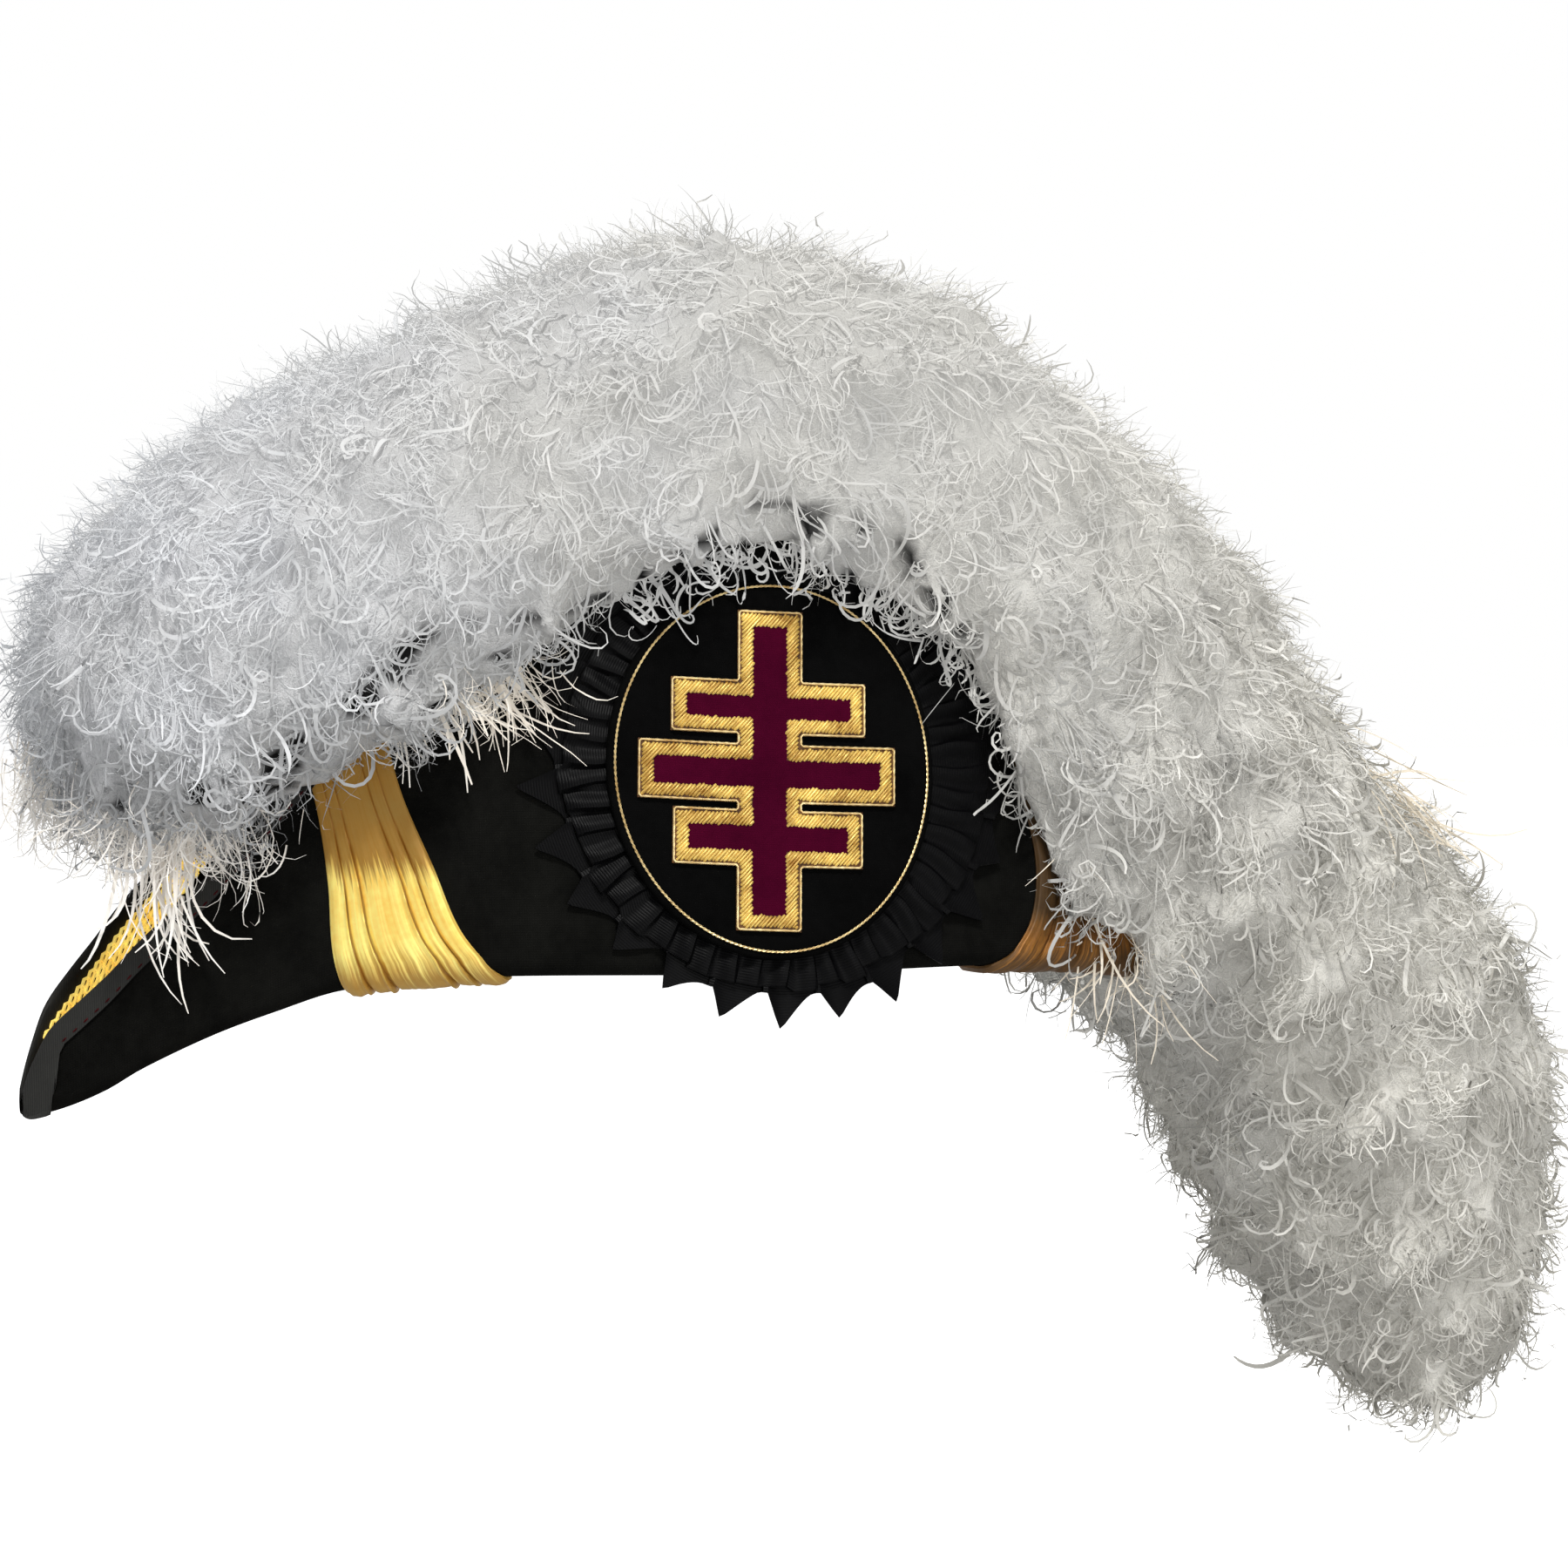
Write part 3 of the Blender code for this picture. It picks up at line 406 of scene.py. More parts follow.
@dataclass(frozen=True)
class HatForm:
    """The two turned-up sides, from which every other piece takes its place.

    The half length and width are to the peaks and at the fold, the peaks' fold drops by peak_drop, and
    the opening is the hole for the skull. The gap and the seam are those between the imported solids.
    """

    half_length: float
    half_width: float
    side_height: float
    peak_drop: float
    opening: float
    opening_half_width: float
    tip_half_width: float = 0.0045
    plan_power: float = 0.9
    lean: float = 0.16
    most_lean: float = 0.5
    thickness: float = 0.0022
    tip_share: float = 0.3
    fold_radius: float = 0.005
    fold_share: float = 0.4
    gap: float = 0.0003
    seam: float = 0.0004
    tip_radius: float = 0.0042
    least_tip: float = 0.002
    right_peak_rise: float = 0.0065

    @classmethod
    def from_frame(cls) -> HatForm:
        """The form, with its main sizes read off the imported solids.

        Returns:
            The form.
        """
        low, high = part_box("left_side")
        skull_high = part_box("crown")[1]
        return cls(high.x, -low.y, high.z, -low.z, skull_high.x, skull_high.y)

    def section(self, x: Array) -> Section:
        """The section of a side.

        Args:
            x: Stations along the hat.

        Returns:
            The section at each station.
        """
        share = np.minimum(np.abs(x) / self.half_length, 1.0)
        spread = (1.0 - share**2) ** self.plan_power
        out = self.tip_half_width + (self.half_width - self.tip_half_width) * spread
        low = -self.peak_drop * FOLD_DROP.at(share)
        rise = self.side_height * EDGE_RISE.at(share)
        past = np.maximum(np.abs(x) - self.half_length + self.tip_radius, 0.0)
        half = np.sqrt(np.maximum(self.tip_radius**2 - past**2, self.least_tip**2))
        low = low + self.tip_radius - half
        rise = rise - 2.0 * (self.tip_radius - half)
        lean = np.minimum(self.lean * rise, self.most_lean * out)
        radius = np.minimum(self.fold_radius, self.fold_share * out)
        top_y, top_z = radius - lean, rise - radius
        reach = np.hypot(top_y, top_z)
        turn = np.arctan2(top_z, top_y) - np.arccos(radius / reach)
        arc = radius * (turn + math.pi / 2)
        wall = np.sqrt(reach**2 - radius**2)
        cloth = np.minimum(self.thickness, self.tip_share * out)
        return Section(out - radius, low + radius, radius, turn, arc, arc + wall, cloth)

    def place(self, x: Array, along: Array, off: Array, hand: Hand, straight: bool = False) -> Array:
        """Points on a side.

        Args:
            x: Stations along the hat.
            along: Lengths from the lowest point of the fold, up the wall, or inwards if negative.
            off: Distances outside the cloth.
            hand: Which side.
            straight: Whether the wall goes straight on below, where the fold turns in.

        Returns:
            The points.
        """
        x, along, off = np.broadcast_arrays(*(np.asarray(v, float) for v in (x, along, off)))
        at = self.section(x)
        reach, past, under, angle = at.radius + off, along - at.arc, 0.0, at.turn
        if not straight:
            past, under = np.maximum(past, 0.0), np.minimum(along, 0.0)
            angle = np.clip(along / at.radius - math.pi / 2, -math.pi / 2, at.turn)
        y = at.centre_y + reach * np.cos(angle) - past * np.sin(at.turn) + under
        z = at.centre_z + reach * np.sin(angle) + past * np.cos(at.turn)
        if hand is Hand.RIGHT:
            raised = self.right_peak_rise * PEAK_STAND.at(-x / self.half_length)
            z = z + raised * past / (at.length - at.arc)
        return np.stack([x, hand.value * y, z], axis=-1)

    def on_wall(self, x: Array, along: Array, off: Array) -> Array:
        """Points on the left wall's straight line, at stations, lengths and distances outside."""
        return self.place(x, along, off, Hand.LEFT, straight=True)

    def stations(self, middle: int, peak: int) -> Array:
        """Stations along the hat, closer near the tips and the ends of the opening.

        Args:
            middle: How many steps lie beside the opening.
            peak: How many steps lie along each peak.

        Returns:
            The stations, from the rear to the front.
        """
        opening = self.opening + self.gap
        beside = opening * np.cos(np.linspace(0.0, math.pi, middle + 1))
        shares = np.sin(np.linspace(0.0, math.pi / 2, peak + 1))[1:]
        out = opening + (self.half_length - opening) * shares
        return np.concatenate([out[::-1], beside, -out])

    def floor_end(self, x: Array) -> Array:
        """How far in the floor of a side reaches, to the skull or the seam under a peak."""
        within = np.maximum(1.0 - (x / (self.opening + self.gap)) ** 2, 0.0)
        return np.maximum((self.opening_half_width + self.gap) * np.sqrt(within), self.seam / 2)

    def kept_out(self, points: Array, room: Rosette, gap: float, reach: float) -> Array:
        """Moves points that lie in a wall, or a little inside it, out onto its outer face.

        Args:
            points: Array of points.
            room: The rosette on the left side, which stands off the wall.
            gap: How far outside the cloth they come to lie.
            reach: How far inside the face a point is still moved.

        Returns:
            The points after the move.
        """
        x, y, z = points[..., 0], points[..., 1], points[..., 2]
        at = self.section(x)
        past = (z - at.centre_z - at.radius * np.sin(at.turn)) / np.cos(at.turn)
        wall = at.centre_y + at.radius * np.cos(at.turn) - past * np.sin(at.turn)
        rise = np.clip((z - at.centre_z) / at.radius, -1.0, 1.0)
        fold = at.centre_y + at.radius * np.sqrt(1.0 - rise**2)
        face = np.where(past > 0.0, wall, fold) + gap
        stands = room.thickness_at(x, past + at.arc)
        face = face + np.where(y < 0.0, stands, 0.0)
        beside = (np.abs(x) < self.half_length) & (z > at.centre_z - at.radius)
        beside &= past + at.arc < at.length + gap
        inside = beside & (np.abs(y) < face) & (np.abs(y) > face - reach - stands)
        moved = points.copy()
        moved[..., 1] = np.where(inside, np.copysign(face, y), y)
        return moved


# Material nodes


def colour(red: float, green: float, blue: float) -> Colour:
    """The linear colour that the nodes take.

    Args:
        red: Red on a screen, from 0 to 255.
        green: Green.
        blue: Blue.

    Returns:
        Its linear values.
    """
    shares = (value / 255.0 for value in (red, green, blue))
    linear = (s / 12.92 if s <= 0.04045 else ((s + 0.055) / 1.055) ** 2.4 for s in shares)
    return (*linear, 1.0)


@dataclass
class NodeTree:
    """A node tree in the making."""

    tree: bpy.types.NodeTree

    def put(self, node: bpy.types.Node, values: dict) -> None:
        """Fills a node's inputs.

        Args:
            node: The node.
            values: A value, or a socket to link, for each input by its name or number.
        """
        for name, value in values.items():
            if isinstance(value, Socket):
                self.tree.links.new(value, node.inputs[name])
            else:
                node.inputs[name].default_value = value

    def add(self, kind: str, values: dict | None = None, **settings: object) -> bpy.types.Node:
        """Adds a node.

        Args:
            kind: The node's type.
            values: What goes into its inputs.
            settings: Its own properties, set first, because a group's inputs come with its tree.

        Returns:
            The node.
        """
        node = self.tree.nodes.new(kind)
        for name, value in settings.items():
            setattr(node, name, value)
        self.put(node, values or {})
        return node

    def mix(self, factor: object, first: object, second: object) -> Socket:
        """A mix of two colours, and how much of the second there is."""
        mixed = self.add("ShaderNodeMix", {0: factor, 6: first, 7: second}, data_type="RGBA")
        return mixed.outputs[2]

    def sum(self, operation: str, first: object, second: object = 0.0) -> Socket:
        """One sum on numbers."""
        return self.add("ShaderNodeMath", {0: first, 1: second}, operation=operation).outputs[0]

    def spread(
        self, value: object, low: float, high: float, start: float = 0.0, end: float = 1.0
    ) -> Socket:
        """A number between low and high, spread from start to end and held inside them."""
        values = {0: value, 1: low, 2: high, 3: start, 4: end}
        return self.add("ShaderNodeMapRange", values, clamp=True).outputs[0]

    def noise(self, place: object, scale: object, detail: float = 3.0) -> Socket:
        """Noise about one half, with a number of turns in a unit of length."""
        values = {"Vector": place, "Scale": scale, "Detail": detail}
        return self.add("ShaderNodeTexNoise", values).outputs["Fac"]

    def parts(self, place: object) -> Sockets:
        """The three numbers of a place."""
        return self.add("ShaderNodeSeparateXYZ", {0: place}).outputs

    def effect(self, group: bpy.types.NodeTree, **values: object) -> Sockets:
        """The outputs of a shared effect, by name."""
        return self.add("ShaderNodeGroup", values, node_tree=group).outputs

    def blotches(self, size: float) -> Socket:
        """Slow change of the surface, in blotches of a size in metres."""
        return self.effect(mottle_group(), Place=self.hat_place(), Size=size)["Amount"]

    def cloth_place(self) -> Socket:
        """Where the surface lies on its cloth."""
        return self.add("ShaderNodeUVMap", uv_map=UV_NAME).outputs["UV"]

    def hat_place(self) -> Socket:
        """Where the surface lies in the hat's frame, in metres."""
        return self.add("ShaderNodeTexCoord").outputs["Object"]


def node_group(
    name: str, numbers: dict[str, float], outputs: tuple[str, ...]
) -> tuple[NodeTree, Sockets, bpy.types.Node]:
    """Starts a shader node group that reads a place and some numbers.

    Args:
        name: The group's name.
        numbers: Its numbers, and what they are by default.
        outputs: Its outputs, which are numbers too.

    Returns:
        Its tree, what it is given by name, and its output node.
    """
    tree = bpy.data.node_groups.new(name, "ShaderNodeTree")
    tree.interface.new_socket(name="Place", in_out="INPUT", socket_type="NodeSocketVector")
    for label, value in numbers.items():
        socket = tree.interface.new_socket(name=label, in_out="INPUT", socket_type="NodeSocketFloat")
        socket.default_value = value
    for label in outputs:
        tree.interface.new_socket(name=label, in_out="OUTPUT", socket_type="NodeSocketFloat")
    nodes = NodeTree(tree)
    return nodes, nodes.add("NodeGroupInput").outputs, nodes.add("NodeGroupOutput")


def wave(nodes: NodeTree, place: object, pitch: object) -> Socket:
    """A wave with half a turn in each pitch."""
    turns = nodes.sum("DIVIDE", place, pitch)
    return nodes.sum("SINE", nodes.sum("MULTIPLY", turns, math.pi))


@functools.cache
def weave_group() -> bpy.types.NodeTree:
    """Threads that cross: their height, and a mask of the gaps between them.

    Returns:
        The node group.
    """
    nodes, given, made = node_group("weave", {"Pitch": 0.0008}, ("Height", "Gaps"))
    parts = nodes.parts(given["Place"])
    waves = [wave(nodes, parts[axis], given["Pitch"]) for axis in (0, 1)]
    height = nodes.sum("ABSOLUTE", nodes.sum("MULTIPLY", *waves))
    nodes.put(made, {"Height": height, "Gaps": nodes.spread(height, 0.0, 0.25, 1.0, 0.0)})
    return nodes.tree


@functools.cache
def ribs_group() -> bpy.types.NodeTree:
    """Round cords side by side across the cloth's first place.

    Returns:
        The node group.
    """
    nodes, given, made = node_group("ribs", {"Pitch": 0.001}, ("Height",))
    across = wave(nodes, nodes.parts(given["Place"])[0], given["Pitch"])
    nodes.put(made, {"Height": nodes.sum("ABSOLUTE", across)})
    return nodes.tree


@functools.cache
def mottle_group() -> bpy.types.NodeTree:
    """Slow change over a surface, such as nap, wear and dye: two sizes of soft blotches.

    Returns:
        The node group.
    """
    nodes, given, made = node_group("mottle", {"Size": 0.02}, ("Amount",))
    scale = nodes.sum("DIVIDE", 1.0, given["Size"])
    coarse = nodes.noise(given["Place"], scale, 2.0)
    fine = nodes.noise(given["Place"], nodes.sum("MULTIPLY", scale, 7.0), 5.0)
    blend = nodes.sum("ADD", nodes.sum("MULTIPLY", coarse, 0.65), nodes.sum("MULTIPLY", fine, 0.35))
    nodes.put(made, {"Amount": nodes.spread(blend, 0.3, 0.7)})
    return nodes.tree


@functools.cache
def streaks_group() -> bpy.types.NodeTree:
    """Fine lines that run along the cloth's second place.

    Returns:
        The node group.
    """
    nodes, given, made = node_group("streaks", {"Width": 0.0006, "Length": 0.03}, ("Amount",))
    parts = nodes.parts(given["Place"])
    across = nodes.sum("DIVIDE", parts[0], given["Width"])
    along = nodes.sum("DIVIDE", parts[1], given["Length"])
    place = nodes.add("ShaderNodeCombineXYZ", {0: across, 1: along}).outputs[0]
    nodes.put(made, {"Amount": nodes.spread(nodes.noise(place, 1.0, 4.0), 0.25, 0.75)})
    return nodes.tree


def start_material(name: str) -> tuple[bpy.types.Material, NodeTree, bpy.types.Node]:
    """Starts a material.

    Args:
        name: Its name.

    Returns:
        The material, its tree and its Principled shader.
    """
    material = bpy.data.materials.new(name)
    material.use_nodes = True
    nodes = NodeTree(material.node_tree)
    return material, nodes, material.node_tree.nodes["Principled BSDF"]


# Finishes. Each depth is the height of the relief in metres.


@dataclass(frozen=True)
class Finish:
    """A material whose colour and relief each kind of finish makes in its own way."""

    name: str
    depth: float

    def paint(self, nodes: NodeTree) -> tuple[object, dict]:
        """What the material's shader takes.

        Args:
            nodes: The material's tree.

        Returns:
            The relief, from 0 to 1, and the shader's other inputs.
        """
        raise NotImplementedError

    @functools.cache
    def material(self) -> bpy.types.Material:
        """The material, made once.

        Returns:
            The material.
        """
        material, nodes, shader = start_material(self.name)
        height, inputs = self.paint(nodes)
        bump = {"Height": height, "Distance": self.depth, "Strength": 1.0}
        inputs["Normal"] = nodes.add("ShaderNodeBump", bump).outputs["Normal"]
        nodes.put(shader, inputs)
        return material


@dataclass(frozen=True)
class ClothFinish(Finish):
    """Woven cloth with nap, and a slow change of shade in blotches."""

    dark: Colour
    light: Colour
    pitch: float
    roughness: float
    sheen: float = 0.0
    sheen_tint: Colour = colour(120, 120, 125)
    blotch: float = 0.02
    specular: float = 0.01
    gaps: float = 0.35

    def paint(self, nodes: NodeTree) -> tuple[object, dict]:
        """What the material's shader takes.

        Args:
            nodes: The material's tree.

        Returns:
            The relief, from 0 to 1, and the shader's other inputs.
        """
        weave = nodes.effect(weave_group(), Place=nodes.cloth_place(), Pitch=self.pitch)
        mottle = nodes.blotches(self.blotch)
        base = nodes.mix(mottle, self.dark, self.light)
        # The gaps between the threads are darker: painted shade.
        return nodes.sum("ADD", weave["Height"], mottle), {
            "Base Color": nodes.mix(nodes.sum("MULTIPLY", weave["Gaps"], self.gaps), base, self.dark),
            "Roughness": self.roughness,
            "Specular IOR Level": self.specular,
            "Sheen Weight": self.sheen,
            "Sheen Tint": self.sheen_tint,
        }


@dataclass(frozen=True)
class RibbedFinish(Finish):
    """Ribbed ribbon, with painted shade between its ribs and a lighter colour on them."""

    dark: Colour
    light: Colour
    pitch: float
    roughness: float
    specular: float = 0.12
    blotch: float = 0.008
    worn: float = 0.15

    def paint(self, nodes: NodeTree) -> tuple[object, dict]:
        """What the material's shader takes.

        Args:
            nodes: The material's tree.

        Returns:
            The relief, from 0 to 1, and the shader's other inputs.
        """
        ribs = nodes.effect(ribs_group(), Place=nodes.cloth_place(), Pitch=self.pitch)["Height"]
        mottle = nodes.blotches(self.blotch)
        # Painted shade between the ribs, and a lighter colour on their crests.
        base = nodes.mix(ribs, self.dark, self.light)
        return ribs, {
            "Base Color": nodes.mix(nodes.sum("MULTIPLY", mottle, 0.5), base, self.dark),
            "Roughness": nodes.spread(mottle, 0.0, 1.0, self.roughness, self.roughness + self.worn),
            "Specular IOR Level": self.specular,
        }


@dataclass(frozen=True)
class GoldFinish(Finish):
    """Gold ribbon, thread or lace, deep in creases and bright in the light.

    Its glow is painted light, standing in for the light that its threads throw on each other. A
    ribbon also has painted shade: in its creases, and by height, where the plume hangs over it and
    under the fold.
    """

    deep: Colour
    bright: Colour
    metallic: float
    roughness: float
    streak_width: float
    streak_length: float
    glow: float = 0.0
    # The shaded colour and the fields from here to creases paint shade on a ribbon: by height under the
    # plume, under the fold, and in its creases.
    shaded: Colour | None = None
    shaded_from: float = 0.028
    shaded_to: float = 0.034
    shaded_share: float = 0.88
    fold_from: float = 0.009
    fold_share: float = 0.8
    ragged: float = 0.012
    crease: Colour = BLACK
    crease_share: float = 0.85
    creases: tuple[Crease, ...] = ()
    side_height: float = 1.0
    blotch: float = 0.012
    worn: float = 0.12

    def paint(self, nodes: NodeTree) -> tuple[object, dict]:
        """What the material's shader takes.

        Args:
            nodes: The material's tree.

        Returns:
            The relief, from 0 to 1, and the shader's other inputs.
        """
        sizes = {"Width": self.streak_width, "Length": self.streak_length}
        streaks = nodes.effect(streaks_group(), Place=nodes.cloth_place(), **sizes)["Amount"]
        mottle = nodes.blotches(self.blotch)
        shade = nodes.sum("MULTIPLY", nodes.sum("ADD", streaks, mottle), 0.5)
        base = nodes.mix(nodes.spread(shade, 0.2, 0.75), self.deep, self.bright)
        across, up, _ = nodes.parts(nodes.cloth_place())
        # Painted shade along each crease, which drifts across the band as it rises.
        for crease in self.creases:
            drift = nodes.sum("MULTIPLY", up, crease.drift / self.side_height)
            middle = nodes.sum("ADD", drift, crease.across)
            place = nodes.sum("MULTIPLY", across, 1.0 / BAND_WIDTH)
            away = nodes.sum("ABSOLUTE", nodes.sum("SUBTRACT", place, middle))
            crease_shade = nodes.spread(away, 0.3 * crease.width, 1.5 * crease.width, self.crease_share, 0.0)
            base = nodes.mix(crease_shade, base, self.crease)
        # Painted shade by height, with a ragged edge: where the plume hangs over the ribbon, and where it
        # turns under the fold.
        if self.shaded is not None:
            ragged = nodes.sum("MULTIPLY", nodes.sum("SUBTRACT", streaks, 0.5), self.ragged)
            height = nodes.sum("ADD", nodes.parts(nodes.hat_place())[2], ragged)
            under = nodes.spread(height, self.shaded_from, self.shaded_to, 0.0, self.shaded_share)
            folded = nodes.spread(height, 0.0, self.fold_from, self.fold_share, 0.0)
            base = nodes.mix(nodes.sum("MAXIMUM", under, folded), base, self.shaded)
        return streaks, {
            "Base Color": base,
            "Roughness": nodes.spread(streaks, 0.0, 1.0, self.roughness + self.worn, self.roughness),
            "Metallic": self.metallic,
            "Emission Color": base,
            "Emission Strength": self.glow,
        }


@dataclass(frozen=True)
class FeatherFinish(Finish):
    """Feather, cool at the front, plain over the middle and warm at the tail.

    A barb is drawn towards the root colour at its root, and by how dark its lock is: painted shade,
    over a random tone by lock. Holes in the down are painted near-black shade. Its glow is painted
    light that stands in for the light that barbs pass on to each other. The shading is calmest on
    the plume's top, where the glow is brightest and the lit colour darker.
    """

    cool: Colour
    plain: Colour
    warm: Colour
    root: Colour
    warm_root: Colour
    uneven: float
    hollow_shade: Colour | None = None
    glow: float = 0.36
    front: float = -0.2
    middle: float = 0.0
    tail: float = 0.2
    calm_from: float = 0.06
    calm_to: float = 0.15
    blotch: float = 0.004
    roughness: float = 0.75
    specular: float = 0.2

    def paint(self, nodes: NodeTree) -> tuple[object, dict]:
        """What the material's shader takes.

        Args:
            nodes: The material's tree.

        Returns:
            The relief, from 0 to 1, and the shader's other inputs.
        """
        place = nodes.hat_place()
        x, _, up = nodes.parts(place)
        calm = nodes.spread(up, self.calm_from, self.calm_to)
        lively = nodes.spread(calm, 0.0, 1.0, 1.0, 0.3)
        drift = nodes.sum("MULTIPLY", nodes.sum("SUBTRACT", nodes.noise(place, 22.0), 0.5), 0.25)
        x = nodes.sum("ADD", x, drift)
        rearward = nodes.spread(x, self.middle, self.tail)
        base = nodes.mix(nodes.spread(x, self.front, self.middle), self.cool, self.plain)
        base = nodes.mix(rearward, base, self.warm)
        root = nodes.mix(rearward, self.root, self.warm_root)
        dark, along, _ = nodes.parts(nodes.cloth_place())
        # Painted shade, weaker on the calm top: a barb darkens towards the root colour near its root, deep
        # in the coat, and the down where it turns under; both darken with the darkness that their cloth
        # place carries, a random tone with painted shade.
        rooted = nodes.spread(along, 0.0, 0.6, 0.6, 0.0)
        base = nodes.mix(nodes.sum("MULTIPLY", rooted, lively), base, root)
        shade = nodes.sum("MULTIPLY", dark, self.uneven)
        base = nodes.mix(nodes.sum("MULTIPLY", shade, lively), base, root)
        # The holes in the down are painted near-black: painted shade.
        if self.hollow_shade is not None:
            base = nodes.mix(nodes.spread(dark, 0.52, 0.95), base, self.hollow_shade)
        mottle = nodes.blotches(self.blotch)
        return mottle, {
            # On the calm top the lit colour is darker and the glow, painted light, brighter, which softens
            # the shading there.
            "Base Color": nodes.mix(nodes.spread(calm, 0.0, 1.0, 0.0, 0.42), base, BLACK),
            "Roughness": self.roughness,
            "Specular IOR Level": self.specular,
            "Emission Color": nodes.mix(nodes.spread(calm, 0.0, 1.0, 0.4, 1.0), BLACK, base),
            "Emission Strength": self.glow,
        }


BLACK_CLOTH = ClothFinish(
    "napped_black_cloth", 0.00008, colour(12, 12, 11), colour(24, 24, 22), pitch=0.0007, roughness=0.85
)
PATCH_CLOTH = ClothFinish(
    "patch_cloth", 0.00005, colour(6, 6, 6), colour(13, 13, 13), pitch=0.0005, roughness=0.9
)
MAROON_CLOTH = ClothFinish(
    "maroon_twill", 0.00006, colour(56, 3, 26), colour(72, 6, 34), pitch=0.0006, roughness=0.85,
    sheen=0.03, sheen_tint=colour(150, 60, 100),
)
BINDING_RIBBON = RibbedFinish(
    "binding_ribbon", 0.00003, colour(40, 40, 39), colour(55, 55, 53), pitch=0.0006, roughness=0.6
)
ROSETTE_RIBBON = RibbedFinish(
    "rosette_ribbon", 0.00006, colour(1, 1, 2), colour(6, 6, 7), pitch=0.0008, roughness=0.42, specular=0.09
)
RED_STITCH = RibbedFinish(
    "red_stitch", 0.00004, colour(30, 4, 7), colour(96, 14, 22), pitch=0.0004, roughness=0.6
)
# The front bands' ribbon, with painted shade in its creases, where the plume hangs over it and under the
# fold.
GOLD_RIBBON = GoldFinish(
    "creased_gold_ribbon", 0.00001, colour(240, 196, 88), colour(255, 238, 136),
    metallic=0.3, roughness=0.36, streak_width=0.0009, streak_length=0.06, glow=0.12,
    shaded=colour(146, 98, 32), crease=colour(116, 74, 20), creases=FRONT_CREASES,
)
# The rear bands' copy of the ribbon, with painted shade: darker colours all over, and dark brown except low
# down, where the plume hangs over it and at the fold.
SHADED_RIBBON = GoldFinish(
    "shaded_gold_ribbon", 0.00005, colour(106, 62, 18), colour(184, 122, 42),
    metallic=0.35, roughness=0.45, streak_width=0.0007, streak_length=0.05,
    shaded=colour(60, 46, 24), shaded_from=0.004, shaded_to=0.016,
)
# The lace's strong glow is painted light, that brightens it inside the peak, where little light reaches.
GOLD_LACE = GoldFinish(
    "gold_mesh_lace", 0.00003, colour(240, 180, 52), colour(255, 236, 132),
    metallic=0.2, roughness=0.35, streak_width=0.0003, streak_length=0.001, glow=0.6,
)
GOLD_THREAD = GoldFinish(
    "satin_gold_thread", 0.00004, colour(158, 110, 34), colour(255, 226, 128),
    metallic=0.25, roughness=0.36, streak_width=0.00014, streak_length=0.004, glow=0.08,
)
GOLD_CORD = GoldFinish(
    "gold_cord", 0.00002, colour(178, 140, 78), colour(252, 230, 172),
    metallic=0.4, roughness=0.3, streak_width=0.2, streak_length=0.002,
)
# The ground under the cross's border: its dark colour is also painted shade between the stitches and in the
# groove at their edge.
SHADED_GROUND = GoldFinish(
    "shaded_thread_ground", 0.00003, colour(58, 32, 6), colour(112, 70, 18),
    metallic=0.1, roughness=0.6, streak_width=0.0003, streak_length=0.002,
)
# The root colours are what painted shade darkens the feathers towards, and the down's holes are painted
# near-black as shade.
DOWN = FeatherFinish(
    "plume_down", 0.0009, colour(212, 213, 216), colour(208, 207, 203), colour(217, 215, 208),
    root=colour(148, 148, 148), warm_root=colour(154, 151, 144), uneven=0.62, hollow_shade=colour(14, 14, 14),
)
BARB = FeatherFinish(
    "plume_barb", 0.00005, colour(236, 238, 241), colour(232, 231, 227), colour(245, 243, 236),
    root=colour(148, 149, 150), warm_root=colour(152, 150, 143), uneven=0.85,
)
STRAW_BARB = FeatherFinish(
    "straw_barb", 0.00005, colour(238, 237, 235), colour(240, 232, 218), colour(234, 224, 206),
    root=colour(206, 196, 182), warm_root=colour(170, 158, 136), uneven=0.6,
)


# The pieces


@dataclass(frozen=True)
class TurnedUpSides:
    """The brim's two turned-up sides, each with its fold, floor and half of both peaks."""

    form: HatForm
    middle_steps: int = 64
    peak_steps: int = 44
    wall_steps: int = 10
    fold_steps: int = 6
    floor_steps: int = 3

    def path(self, x: Array) -> Array:
        """Lengths along a side's section at which the mesh has its points.

        Args:
            x: Stations.

        Returns:
            Stations by path places.
        """
        at = self.form.section(x)
        floor = at.centre_y - self.form.floor_end(x)
        wall = np.linspace(1.0, 0.0, self.wall_steps + 1)
        fold = np.linspace(1.0, 0.0, self.fold_steps + 1)[1:]
        inward = np.linspace(0.0, 1.0, self.floor_steps + 1)[1:]
        up = at.arc[:, None] + (at.length - at.arc)[:, None] * wall
        return np.concatenate([up, at.arc[:, None] * fold, -floor[:, None] * inward], axis=1)

    def build(self) -> None:
        """Makes both sides."""
        x = self.form.stations(self.middle_steps, self.peak_steps)
        along = self.path(x)
        cloth = self.form.section(x).cloth[:, None]
        uv = pairs(x[:, None], along)[None]
        for hand in Hand:
            side = hand.name.lower()
            outer = self.form.place(x[:, None], along, 0.0, hand)[None]
            inner = self.form.place(x[:, None], along, -cloth, hand)[None]
            pile = Pile().add_shells(outer, inner, uv)
            piece = pile.build(f"{side}_side_cloth", BLACK_CLOTH, "black_cloth")
            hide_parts(f"{side}_side")


SKULL_LEVELS = (0.0, 0.2, 0.4, 0.6, 0.8, 1.0)


